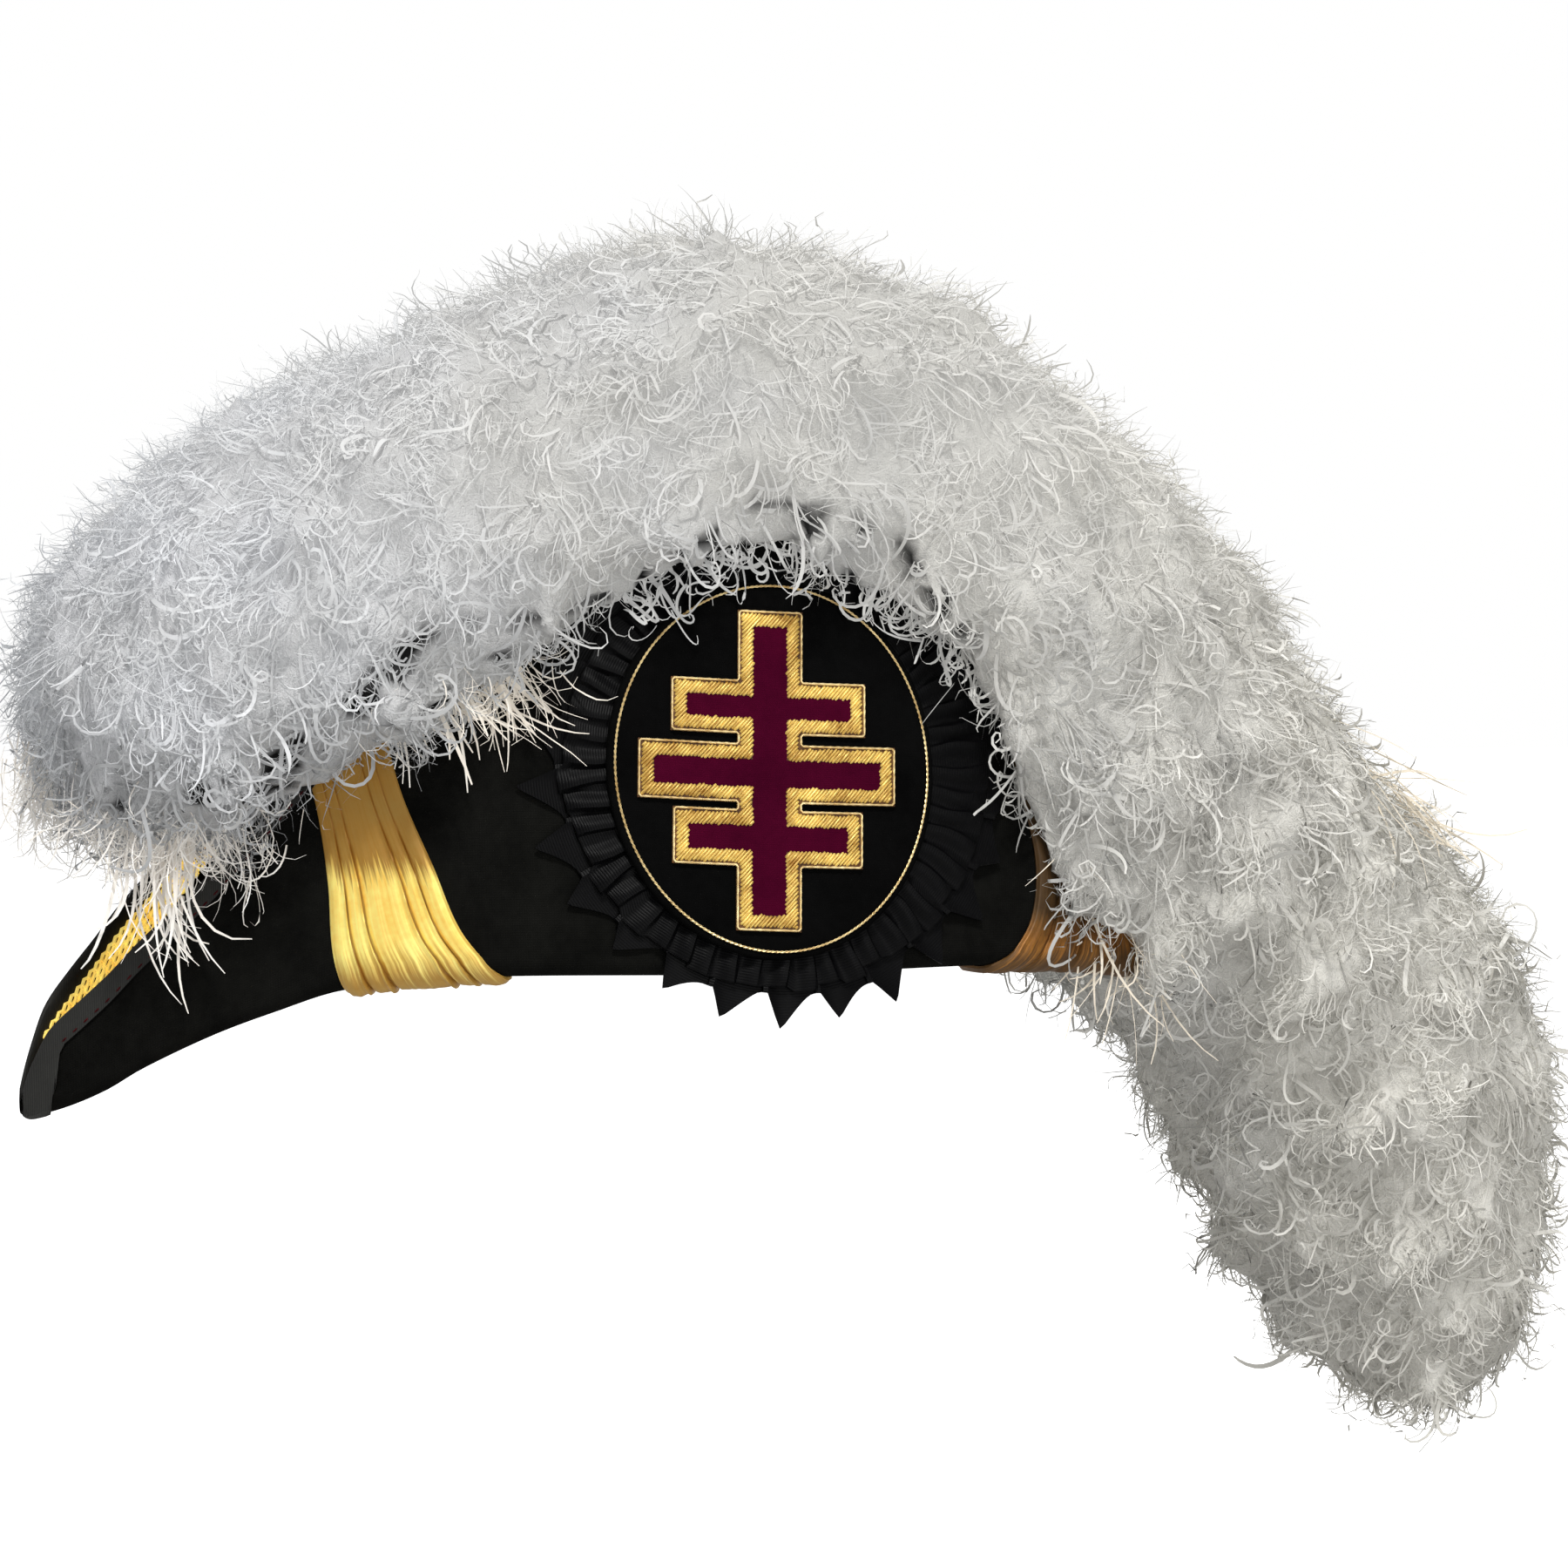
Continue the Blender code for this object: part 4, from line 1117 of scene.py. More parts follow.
@dataclass(frozen=True)
class Skull:
    """The oval skull that takes the head, whose plan shrinks by two curves as it rises by a third."""

    form: HatForm
    height: float
    wall: float = 0.002
    corners: int = 96
    rings: int = 28
    rise: Curve = Curve(SKULL_LEVELS, (0.0, 0.34, 0.62, 0.80, 0.93, 1.0))
    length: Curve = Curve(SKULL_LEVELS, (1.0, 0.985, 0.93, 0.83, 0.60, 0.01))
    width: Curve = Curve(SKULL_LEVELS, (1.0, 0.955, 0.885, 0.78, 0.56, 0.01))

    def build(self) -> None:
        """Makes the skull."""
        level = np.linspace(0.0, 1.0, self.rings + 1)[:, None]
        turn = (np.arange(self.corners) * math.tau / self.corners)[None]

        def dome(inset: float) -> Array:
            """One face of the wall, drawn in by an inset.

            Args:
                inset: How far it is drawn in.

            Returns:
                Its grid of points.
            """
            x = (self.form.opening - inset) * self.length.at(level) * np.cos(turn)
            y = (self.form.opening_half_width - inset) * self.width.at(level) * np.sin(turn)
            z = (self.height - inset) * self.rise.at(level) * np.ones_like(turn)
            return np.stack([x, y, z], axis=-1)[None]

        around = np.linspace(0.0, math.tau, self.corners + 1) * self.form.opening_half_width
        uv = pairs(around, level * self.height)[None]
        pile = Pile().add_shells(dome(0.0), dome(self.wall), uv, wrap=True)
        piece = pile.build("skull_cloth", BLACK_CLOTH, "black_cloth")
        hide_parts("crown")


@dataclass(frozen=True)
class EdgeBinding:
    """Ribbed ribbon folded over each side's top edge, and its rows of stitches.

    The ribbon reaches down each face by its width, but no more than end_share of the wall. It turns
    round a tip on the outer face between the distances tip_from and tip_to.
    """

    form: HatForm
    width: float = 0.0065
    tip_from: float = 0.0115
    tip_to: float = 0.0075
    thickness: float = 0.0008
    end_share: float = 0.55
    puff: float = 0.00025
    round_steps: int = 6
    leg_steps: int = 5
    stitch_pitch: float = 0.003
    stitch_length: float = 0.0013
    stitch_radius: float = 0.00028
    stitch_in: float = 0.0013
    stitch_steps: int = 4
    stitch_sides: int = 4
    middle_steps: int = 90
    peak_steps: int = 56

    def inner_leg(self, x: Array) -> Array:
        """How far the ribbon reaches down the wall's inner face at stations."""
        at = self.form.section(x)
        return np.minimum(self.width, self.end_share * (at.length - at.arc))

    def leg(self, x: Array) -> Array:
        """How far it reaches down the outer face, where it turns round the tips.

        Args:
            x: Stations.

        Returns:
            A length at each.
        """
        from_tip = np.abs(x) - self.form.half_length
        share = smooth_step(from_tip, -self.tip_from, -self.tip_to)
        return self.inner_leg(x) * (1.0 - share) + self.form.section(x).length * share

    def ribbon(self, x: Array, lift: float, puff: float, hand: Hand) -> Array:
        """One face of the ribbon.

        Args:
            x: Stations.
            lift: Distance from the cloth.
            puff: How far it swells.
            hand: Which side.

        Returns:
            Stations by places across the ribbon by 3.
        """
        at = self.form.section(x)
        down = np.linspace(1.0, 0.0, self.leg_steps + 1)
        swell = puff * np.sin(math.pi * down) ** 0.7
        leg = at.length[:, None] - self.leg(x)[:, None] * down
        inner = at.length[:, None] - self.inner_leg(x)[:, None] * down[::-1]
        turn = np.linspace(0.0, math.pi, self.round_steps + 1)[1:-1]
        radius = (at.cloth / 2 + lift)[:, None]
        along = np.concatenate([leg, at.length[:, None] + radius * np.sin(turn), inner], axis=1)
        cloth, outer = at.cloth[:, None], np.broadcast_to(lift + swell, leg.shape)
        bend = radius * np.cos(turn) - cloth / 2
        off = np.concatenate([outer, bend, -cloth - lift - swell[::-1]], axis=1)
        return self.form.place(x[:, None], along, off, hand)

    def stitches(self, hand: Hand, inside: bool) -> Pile:
        """One row of stitches.

        Args:
            hand: Which side.
            inside: Whether the row is on the side's inner face.

        Returns:
            The stitches as a pile.
        """
        reach = self.form.half_length - self.tip_from
        start = np.arange(-reach, reach, self.stitch_pitch)[:, None]
        steps = np.linspace(0.0, 1.0, self.stitch_steps)[None]
        x = start + steps * self.stitch_length
        at = self.form.section(x)
        along = at.length - self.inner_leg(x[:, 0])[:, None] + self.stitch_in
        lift = self.form.gap + self.thickness + self.puff * 0.5
        arch = self.stitch_radius * np.sin(math.pi * steps)
        off = -at.cloth - lift - arch if inside else lift + arch
        paths = self.form.place(x, along, off, hand)
        radius = self.stitch_radius * (0.35 + 0.65 * np.sin(math.pi * steps))
        return Pile().add_tubes(paths, radius, np.array([0.0, 0.0, 1.0]), self.stitch_sides)

    def build(self) -> None:
        """Makes both ribbons with their stitches."""
        x = self.form.stations(self.middle_steps, self.peak_steps)
        for hand in Hand:
            side = hand.name.lower()
            front = self.ribbon(x, self.form.gap + self.thickness, self.puff, hand)[None]
            back = self.ribbon(x, self.form.gap, 0.0, hand)[None]
            uv = pairs(x[:, None], np.linspace(0.0, 2 * self.width, front.shape[2]))[None]
            pile = Pile().add_shells(front, back, uv)
            piece = pile.build(f"{side}_binding_ribbon", BINDING_RIBBON, "black_ribbon")
            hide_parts(f"{side}_binding")
            for inside, face in ((False, "outer"), (True, "inner")):
                name = f"{side}_binding_{face}_stitches"
                self.stitches(hand, inside).build(name, RED_STITCH, "black_ribbon")


@dataclass(frozen=True)
class MeshLace:
    """Gold mesh lace inside each edge, made of rows of small linked rings."""

    form: HatForm
    width: float = 0.0098
    below: float = 0.0042
    lift: float = 0.0013
    rows: int = 4
    ring_radius: float = 0.00105
    wire_radius: float = 0.00058
    reach: float = 0.955
    ring_corners: int = 6
    wire_sides: int = 4
    stretch: float = 1.12
    waver: float = 0.5

    def build(self) -> None:
        """Makes the lace of both sides."""
        pitch = 2 * self.ring_radius
        reach = self.form.half_length * self.reach
        x = np.arange(-reach, reach, pitch)
        turns = np.arange(self.ring_corners + 1) * math.tau / self.ring_corners
        for hand in Hand:
            side = hand.name.lower()
            pile = Pile()
            for row in range(self.rows):
                shift = pitch / 2 if row % 2 else 0.0
                share = (row + 0.5) / self.rows
                at = self.form.section(x + shift)
                centre = at.length - self.below - self.width * share
                ring_x = x[:, None] + shift + self.ring_radius * np.cos(turns)
                along = centre[:, None] + self.ring_radius * self.stretch * np.sin(turns)
                lift = self.lift + self.wire_radius * (1.0 + self.waver * np.cos(turns * 2))
                paths = self.form.place(ring_x, along, -at.cloth[:, None] - lift, hand)
                pile.add_tubes(paths, self.wire_radius, np.array([0.0, 1.0, 0.15]), self.wire_sides)
            piece = pile.build(f"{side}_mesh_lace", GOLD_LACE, "gold_lace")
            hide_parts(f"{side}_lace")


@dataclass(frozen=True)
class GoldBand:
    """Creased gold ribbon up a side and under its fold.

    Its inner and outer edges are shares of the hat's half length by height, a share of the side's
    height. It goes under the hat by its wrap, and its mesh's rows reach round the fold at fold_share.
    Between creases it stands up in pillows, which get calm with height, and it has small pleats low
    down. The far side has a coarser mesh.
    """

    form: HatForm
    end: End
    inner: Curve
    outer: Curve
    creases: tuple[Crease, ...]
    seed: int
    thickness: float = 0.001
    lift: float = 0.0006
    wrap: float = 0.012
    below_top: float = 0.0077
    passes: int = 5
    columns: int = 96
    rows: int = 60
    far_mesh: float = 0.5
    wrap_share: float = 0.1
    fold_share: float = 0.2
    least_rise: float = 0.0006
    pillow: float = 0.0011
    pillow_reach: float = 0.1
    calm: float = 0.85
    calm_from: float = 0.20
    calm_to: float = 0.36
    pleats: int = 22
    pleat_depth: float = 0.00024
    pleat_width: float = 0.016
    pleats_from: float = 0.02
    pleats_end: float = 0.17
    edge_share: float = 0.03

    def path(self, x: Array, share: Array) -> Array:
        """Lengths along the side's section.

        Args:
            x: Stations.
            share: Where on the path, from under the hat to the top.

        Returns:
            The lengths.
        """
        at = self.form.section(x)
        top = at.length - self.below_top
        under = -self.wrap * (1.0 - share / self.wrap_share)
        fold = at.arc * (share - self.wrap_share) / (self.fold_share - self.wrap_share)
        wall = at.arc + (top - at.arc) * (share - self.fold_share) / (1.0 - self.fold_share)
        return np.where(share < self.wrap_share, under, np.where(share < self.fold_share, fold, wall))

    def relief(self, across: Array, height: Array) -> Array:
        """How far the ribbon stands off at each place.

        Args:
            across: Places across the band.
            height: Heights over the fold, as shares of the side's height.

        Returns:
            Distances, of which none is negative.
        """
        fade = 1.0 - self.calm * smooth_step(height, self.calm_from, self.calm_to)
        nearest = np.minimum(across, 1.0 - across)
        for crease in self.creases:
            away = np.abs(across - crease.across - crease.drift * height)
            nearest = np.minimum(nearest, away)
        share = np.clip(nearest / self.pillow_reach, 0.0, 1.0)
        rise = self.least_rise + self.pillow * fade * np.sqrt(share)
        for crease in self.creases:
            place = (across - crease.across - crease.drift * height) / crease.width
            # A crease is a lap: it drops sharply on one side and comes back slowly on the other.
            lap = np.exp(-(place**2)) - 0.5 * np.exp(-((place - 1.9) ** 2) / 2.2)
            rise -= crease.depth * lap * fade
        draw = random.Random(self.seed)
        low = 1.0 - smooth_step(height, self.pleats_from, self.pleats_end)
        for _ in range(self.pleats):
            place = (across - draw.random() - height * draw.uniform(-0.5, 0.2)) / self.pleat_width
            rise += self.pleat_depth * draw.uniform(-1.0, 1.0) * np.exp(-(place**2)) * (0.1 + low)
        return np.maximum(rise, 0.0)

    def build(self, hand: Hand) -> None:
        """Makes the band on one side.

        Args:
            hand: Which side.
        """
        fine = 1.0 if hand is Hand.LEFT else self.far_mesh
        share, across = np.meshgrid(
            np.linspace(0.0, 1.0, round(self.rows * fine) + 1),
            np.linspace(0.0, 1.0, round(self.columns * fine) + 1),
            indexing="ij",
        )
        where = np.full(share.shape, float(self.inner.at(0.0)))
        for _ in range(self.passes):
            x = self.end.value * where * self.form.half_length
            along = self.path(x, share)
            height = along / self.form.side_height
            where = self.inner.at(height) * (1 - across) + self.outer.at(height) * across
        rise = self.relief(across, np.maximum(height, 0.0))
        rise = rise * smooth_step(np.minimum(across, 1.0 - across), 0.0, self.edge_share)
        front = self.form.place(x, along, self.lift + self.thickness * 0.5 + rise, hand)[None]
        back = self.form.place(x, along, self.lift * 0.5 + rise * 0.3, hand)[None]
        pile = Pile().add_shells(front, back, pairs(across * BAND_WIDTH, along)[None])
        node = f"band_{self.end.name.lower()}_{hand.name.lower()}"
        finish = SHADED_RIBBON
        if self.end is End.FRONT:
            finish = replace(GOLD_RIBBON, side_height=self.form.side_height)
        piece = pile.build(f"{node}_ribbon", finish, "gold_ribbon")
        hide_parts(node)


BAND_LEVELS = (-0.10, 0.0, 0.05, 0.12, 0.24, 0.40)
FRONT_LEVELS, REAR_LEVELS = (*BAND_LEVELS, 0.60), (*BAND_LEVELS, 0.80)
FRONT_INNER = Curve(FRONT_LEVELS, (0.345, 0.362, 0.398, 0.432, 0.462, 0.502, 0.530))
FRONT_OUTER = Curve(FRONT_LEVELS, (0.555, 0.572, 0.590, 0.598, 0.600, 0.612, 0.640))
REAR_INNER = Curve(REAR_LEVELS, (0.300, 0.318, 0.365, 0.398, 0.408, 0.385, 0.345))
REAR_OUTER = Curve(REAR_LEVELS, (0.570, 0.582, 0.585, 0.570, 0.558, 0.530, 0.480))


@dataclass(frozen=True)
class Rosette:
    """The ribbon rosette on the left side: a ring of knife pleats over a ring of pointed tabs.

    Tabs part at the valley's radius and end at the tip's, which lies at tip_at between two valleys.
    The pleats' back stands off the cloth by the stack, and the patch's face by patch_face.
    """

    form: HatForm
    x: float = 0.004
    up: float = 0.0645
    tabs: int = 26
    pleats: int = 52
    valley: float = 0.068
    tip: float = 0.0775
    uneven: float = 0.0025
    tip_at: float = 0.3
    pleat_radius: float = 0.0655
    inner_radius: float = 0.043
    pleat_depth: float = 0.0019
    pleat_base: float = 0.0008
    stack: float = 0.0021
    tab_cloth: float = 0.0007
    tab_root: float = 0.057
    tab_reach: tuple[float, float] = (-0.08, 1.12)
    tab_gap: float = 0.0003
    tab_lift: float = 0.0017
    tab_fold: float = 0.0007
    tab_fold_width: float = 0.09
    tab_ripple: float = 0.00018
    tab_lean: float = 0.1
    tab_columns: int = 14
    tab_rows: int = 9
    pleat_columns: int = 9
    pleat_rows: int = 9
    pleat_uneven: float = 0.0016
    pleat_wobble: float = 0.16
    patch_face: float = 0.0070
    over_patch: float = 0.001
    over_tabs: float = 0.002
    seed: int = 7

    def place(self, turn: Array, radius: Array, off: Array) -> Array:
        """Points over the left side round the rosette's centre."""
        x = self.x + radius * np.cos(turn)
        return self.form.on_wall(x, self.up + radius * np.sin(turn), off)

    def thickness_at(self, x: Array, along: Array) -> Array:
        """How far the rosette and the patch stand off the left wall.

        Args:
            x: Stations.
            along: Lengths up the wall.

        Returns:
            The distances, which are zero past the tabs.
        """
        radius = np.hypot(x - self.x, along - self.up)
        low = np.where(radius < self.tip, self.tab_lift + self.over_tabs, 0.0)
        return np.where(radius < self.pleat_radius, self.patch_face + self.over_patch, low)

    def build_tabs(self) -> None:
        """Makes the ring of pointed tabs, each a folded ribbon end laid over the next."""
        draw = random.Random(self.seed)
        radii = [
            [base + draw.uniform(-self.uneven, self.uneven) for base in (self.valley, self.tip)]
            for _ in range(self.tabs)
        ]
        valley, tip = np.array(radii).T
        after = np.roll(valley, -1)
        across = np.linspace(*self.tab_reach, self.tab_columns)[None, None, :]
        out = np.linspace(0.0, 1.0, self.tab_rows)[None, :, None]
        first = np.arange(self.tabs)[:, None, None]
        before = np.clip(across / self.tip_at, 0.0, 1.0) ** 1.15
        behind = np.clip((1.0 - across) / (1.0 - self.tip_at), 0.0, 1.0) ** 1.5
        held = across.clip(0, 1)
        low = valley[:, None, None] * (1 - held) + after[:, None, None] * held
        point = np.where(across < self.tip_at, before, behind)
        reach = low + (tip[:, None, None] - low) * point
        radius = self.tab_root + (reach - self.tab_root) * out
        lean = (across - self.tip_at) * out * self.tab_lean
        turn = math.tau * (first + across - lean) / self.tabs
        fold = np.exp(-(((across - 0.02) / self.tab_fold_width) ** 2))
        lift = self.tab_gap + self.tab_lift * (0.25 + 0.75 * out) * (1.0 - held) * 0.8
        lift = lift + self.tab_fold * fold * smooth_step(out, 0.0, 0.3)
        ripple = self.tab_ripple * np.sin(across * 9.0 + first * 2.1) * out
        back = self.place(turn, radius, lift + ripple)
        front = self.place(turn, radius, lift + ripple + self.tab_cloth)
        pile = Pile().add_shells(front, back, pairs(radius, turn * self.valley))
        piece = pile.build("rosette_tabs", ROSETTE_RIBBON, "black_ribbon")
        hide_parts("rosette_points")

    def build_pleats(self) -> None:
        """Makes the ring of knife pleats."""
        per_pleat, rings = self.pleat_columns, self.pleat_rows
        draw = np.random.default_rng(self.seed)
        place = np.tile(np.arange(per_pleat) / per_pleat, self.pleats)[None]
        number = np.repeat(np.arange(self.pleats), per_pleat)[None]
        level = np.linspace(0.0, 1.0, rings + 1)[:, None]
        size = draw.uniform(0.7, 1.25, self.pleats)[number]
        phase = draw.uniform(0.0, math.tau, self.pleats)[number]
        ends = draw.uniform(-self.pleat_uneven, self.pleat_uneven, self.pleats)[number]
        rise = smooth_step(place, 0.0, 0.62) * (1.0 - smooth_step(place, 0.80, 0.93))
        outward = 0.45 + 0.55 * smooth_step(level, 0.0, 0.7)
        end = 1.0 - 0.55 * smooth_step(level, 0.9, 1.0)
        off = self.stack + self.pleat_base + self.pleat_depth * rise * size * outward * end
        wobble = self.pleat_wobble * np.sin(phase + level * 3.5) * smooth_step(level, 0.1, 0.6)
        turn = math.tau * (number + place + wobble) / self.pleats
        radius = self.inner_radius + (self.pleat_radius - self.inner_radius + ends) * level
        front = self.place(turn, radius, off)[None]
        back = self.place(turn, radius, self.stack)[None]
        around = math.tau * np.arange(self.pleats * per_pleat + 1) / (self.pleats * per_pleat)
        uv = pairs(radius.mean(axis=1)[:, None], around)[None]
        pile = Pile().add_shells(front, back, uv, wrap=True)
        piece = pile.build("rosette_knife_pleats", ROSETTE_RIBBON, "black_ribbon")
        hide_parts("rosette_pleats")

    def build(self) -> None:
        """Makes both rings."""
        self.build_tabs()
        self.build_pleats()


@dataclass(frozen=True)
class Patch:
    """The oval patch: its black disc and the twisted gold cord round it."""

    form: HatForm
    x: float = 0.0008
    up: float = 0.0635
    half_length: float = 0.050
    half_height: float = 0.0565
    base: float = 0.0051
    thickness: float = 0.002
    edge_round: float = 0.0012
    cord_in: float = 0.0022
    strand_radius: float = 0.00021
    twist: float = 0.003
    cord_steps: int = 800
    strand_sides: int = 5
    strand_lift: float = 2.2
    strand_out: float = 0.9
    corners: int = 128
    edge_points: int = 6
    flat_points: int = 8

    @property
    def face(self) -> float:
        """Distance of its face from the wall."""
        return self.base + self.thickness

    def place(self, turn: Array, inset: Array, off: Array) -> Array:
        """Points over the patch's oval.

        Args:
            turn: Turns round the centre.
            inset: Distances inside the edge.
            off: Distances out from the wall.

        Returns:
            The points.
        """
        x = self.x + (self.half_length - inset) * np.cos(turn)
        up = self.up + (self.half_height - inset) * np.sin(turn)
        return self.form.on_wall(x, up, off)

    def build_disc(self) -> None:
        """Makes the disc, with a rounded edge."""
        turn = (np.arange(self.corners) * math.tau / self.corners)[None]
        round_turn = np.linspace(0.0, math.pi / 2, self.edge_points)[:, None]
        rim_in = self.edge_round * (1.0 - np.sin(round_turn))[::-1]
        rim_drop = self.edge_round * (1.0 - np.cos(round_turn))[::-1]
        shares = np.linspace(1.0, 0.01, self.flat_points)[1:, None]
        flat_in = self.half_length * (1.0 - shares)
        inset = np.concatenate([rim_in, flat_in])
        drop = np.concatenate([rim_drop, np.zeros_like(flat_in)])
        x = self.x + (self.half_length - inset) * np.cos(turn)
        up = self.up + (self.half_height - inset * self.half_height / self.half_length) * np.sin(turn)
        front = self.form.on_wall(x, up, self.face - drop)[None]
        back = self.form.on_wall(x, up, self.base)[None]
        angle = np.linspace(0.0, math.tau, self.corners + 1)[None]
        flat_x = (self.half_length - inset) * np.cos(angle)
        flat_up = (self.half_height - inset) * np.sin(angle)
        pile = Pile().add_shells(front, back, pairs(flat_x, flat_up)[None], wrap=True)
        piece = pile.build("patch_cloth_disc", PATCH_CLOTH, "black_cloth")
        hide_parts("patch_disc")

    def build_cord(self) -> None:
        """Makes the cord of two strands laid round each other."""
        turn = np.linspace(0.0, math.tau, self.cord_steps + 1)
        middle = self.place(turn, self.cord_in, self.face + self.strand_radius * self.strand_lift)
        length = np.linalg.norm(np.diff(middle, axis=0), axis=1).sum()
        turns = round(length / self.twist)
        along = unit(np.gradient(middle, axis=0))
        out = unit(middle - self.place(turn, self.cord_in, 0.0))
        side = np.cross(along, out)
        pile = Pile()
        for start in (0.0, math.pi):
            angle = start + turn * turns
            way = side * np.cos(angle)[:, None] + out * np.sin(angle)[:, None]
            path = middle + self.strand_radius * self.strand_out * way
            pile.add_tubes(path[None], self.strand_radius, out[None], self.strand_sides)
        piece = pile.build("patch_twisted_cord", GOLD_CORD, "gold_thread")
        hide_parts("patch_cord")

    def build(self) -> None:
        """Makes the disc and its cord."""
        self.build_disc()
        self.build_cord()


@dataclass(frozen=True)
class Bar:
    """One bar of the cross."""

    half: float
    low: float
    high: float


@dataclass(frozen=True)
class TripleBarCross:
    """The embroidered cross: satin stitches round a dark fill, and a fine line outside them.

    Its sizes are measured from the patch's centre and its heights from the patch's face. What ends in
    _in lies that far inside its edge. It leans to the rear by its tilt, and its middle lies off the
    patch's by its shift. Stitches shorter than least_steps of the scan are left out.
    """

    patch: Patch
    arm: float = 0.0099
    top: float = 0.0468
    bottom: float = -0.0483
    bars: tuple[Bar, ...] = (
        Bar(0.0297, 0.0098, 0.0259),
        Bar(0.0392, -0.0105, 0.0071),
        Bar(0.0289, -0.02935, -0.01245),
    )
    border: float = 0.0049
    pitch: float = 0.00085
    line_in: float = 0.00038
    groove_in: float = 0.00105
    slant: float = math.radians(48.0)
    overrun: float = 0.0008
    tilt: float = math.radians(2.8)
    shift: float = -0.0021
    fill_under: float = 0.0002
    fill_face: float = 0.0009
    sewn_gap: float = 0.0001
    least_steps: int = 12
    scan_step: float = 0.0001
    thread_round: float = 0.0008
    ground: float = 0.0008
    ground_in: float = 0.00005
    ground_past: float = 0.0004
    ground_steps: int = 8
    fill_columns: int = 12
    fill_rows: int = 24
    crest: float = 0.0017
    line_radius: float = 0.00034
    line_sides: int = 6
    line_trim: float = 0.0006
    line_step: float = 0.0008
    line_lift: float = 0.62
    line_twist: float = 1.9
    line_waver: float = 0.00006
    line_uneven: float = 0.16
    seed: int = 11

    def outline(self, inset: float) -> Array:
        """Corners of the cross, drawn in by an inset.

        Args:
            inset: How far it is drawn in.

        Returns:
            Corners by 2, from the top right round to the top left.
        """
        half = self.arm - inset
        right = [(half, self.top - inset)]
        for bar in self.bars:
            end, low, high = bar.half - inset, bar.low + inset, bar.high - inset
            right += [(half, high), (end, high), (end, low), (half, low)]
        right.append((half, self.bottom + inset))
        left = [(-x, up) for x, up in reversed(right)]
        return np.array(right + left)

    def on_patch(self, flat: Array, off: Array) -> Array:
        """Points over the patch.

        Args:
            flat: Places from its centre, along the hat and up.
            off: Distances from its face.

        Returns:
            The points.
        """
        cosine, sine = math.cos(self.tilt), math.sin(self.tilt)
        x = self.patch.x + self.shift + flat[..., 0] * cosine + flat[..., 1] * sine
        up = self.patch.up + flat[..., 1] * cosine - flat[..., 0] * sine
        return self.patch.form.on_wall(x, up, self.patch.face + off)

    def build_ground(self) -> None:
        """Makes the dark cloth under the border's stitches; its colour is also painted shade between them.
        """
        outer, inner = self.outline(self.ground_in), self.outline(self.border + self.ground_past)
        steps = np.linspace(0.0, 1.0, self.ground_steps)[None, :, None]
        pile = Pile()
        for start, end, near, far in zip(
            outer, np.roll(outer, -1, axis=0), inner, np.roll(inner, -1, axis=0)
        ):
            edge = start * (1 - steps) + end * steps
            within = near * (1 - steps) + far * steps
            flat = np.stack([edge, within], axis=2)
            pile.add_shells(self.on_patch(flat, self.ground), self.on_patch(flat, self.sewn_gap), flat)
        piece = pile.build("cross_border_ground", SHADED_GROUND, "gold_thread")
        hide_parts("cross_border")

    def build_fill(self) -> None:
        """Makes the dark fill, in one slab for the upright and two for each bar."""
        inset = self.border - self.fill_under
        side = self.arm - inset
        slabs = [(-side, side, self.bottom + inset, self.top - inset)]
        for bar in self.bars:
            low, high, end = bar.low + inset, bar.high - inset, bar.half - inset
            slabs += [(side, end, low, high), (-end, -side, low, high)]
        pile = Pile()
        for near, far, low, high in slabs:
            across, up = np.linspace(near, far, self.fill_columns), np.linspace(low, high, self.fill_rows)
            places = np.meshgrid(across, up)
            flat = np.stack(places, axis=-1)[None]
            front = self.on_patch(flat, self.fill_face)
            pile.add_shells(front, self.on_patch(flat, self.sewn_gap), flat)
        piece = pile.build("cross_fill_cloth", MAROON_CLOTH, "maroon_cloth")
        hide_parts("cross_fill")

    def holds(self, x: Array, up: Array, inset: float) -> Array:
        """Whether places lie in the cross, drawn in by an inset.

        Args:
            x: Places along the hat, from the patch's centre.
            up: Places up the side.
            inset: How far the cross is drawn in.

        Returns:
            True where they do.
        """
        parts = (Bar(self.arm, self.bottom, self.top), *self.bars)
        inside = [
            (np.abs(x) < part.half - inset) & (up > part.low + inset) & (up < part.high - inset)
            for part in parts
        ]
        return np.any(inside, axis=0)

    def build_stitches(self) -> None:
        """Makes the satin stitches of the border, which all lean the same way."""
        draw = np.random.default_rng(self.seed)
        ahead = np.array([math.cos(self.slant), math.sin(self.slant)])
        beside = np.array([-ahead[1], ahead[0]])
        reach = math.hypot(self.bars[1].half, -self.bottom)
        run = np.arange(-reach, reach, self.scan_step)
        roots, tips = [], []
        for offset in np.arange(-reach, reach, self.pitch):
            places = beside * offset + ahead * run[:, None]
            x, up = places[:, 0], places[:, 1]
            border = self.holds(x, up, self.groove_in) & ~self.holds(x, up, self.border)
            edges = np.flatnonzero(np.diff(np.concatenate([[0], border.astype(int), [0]])))
            for first, last in zip(edges[::2], edges[1::2] - 1):
                if last - first < self.least_steps:
                    continue
                roots.append(places[first] - ahead * self.overrun * draw.uniform(-0.4, 0.6))
                tips.append(places[last] + ahead * self.overrun * draw.uniform(-0.4, 0.6))
        pile = Pile().add_grids(*self.stitch_grids(np.array(roots), np.array(tips), draw))
        pile.build("cross_border_stitches", GOLD_THREAD, "gold_thread", closed=False)

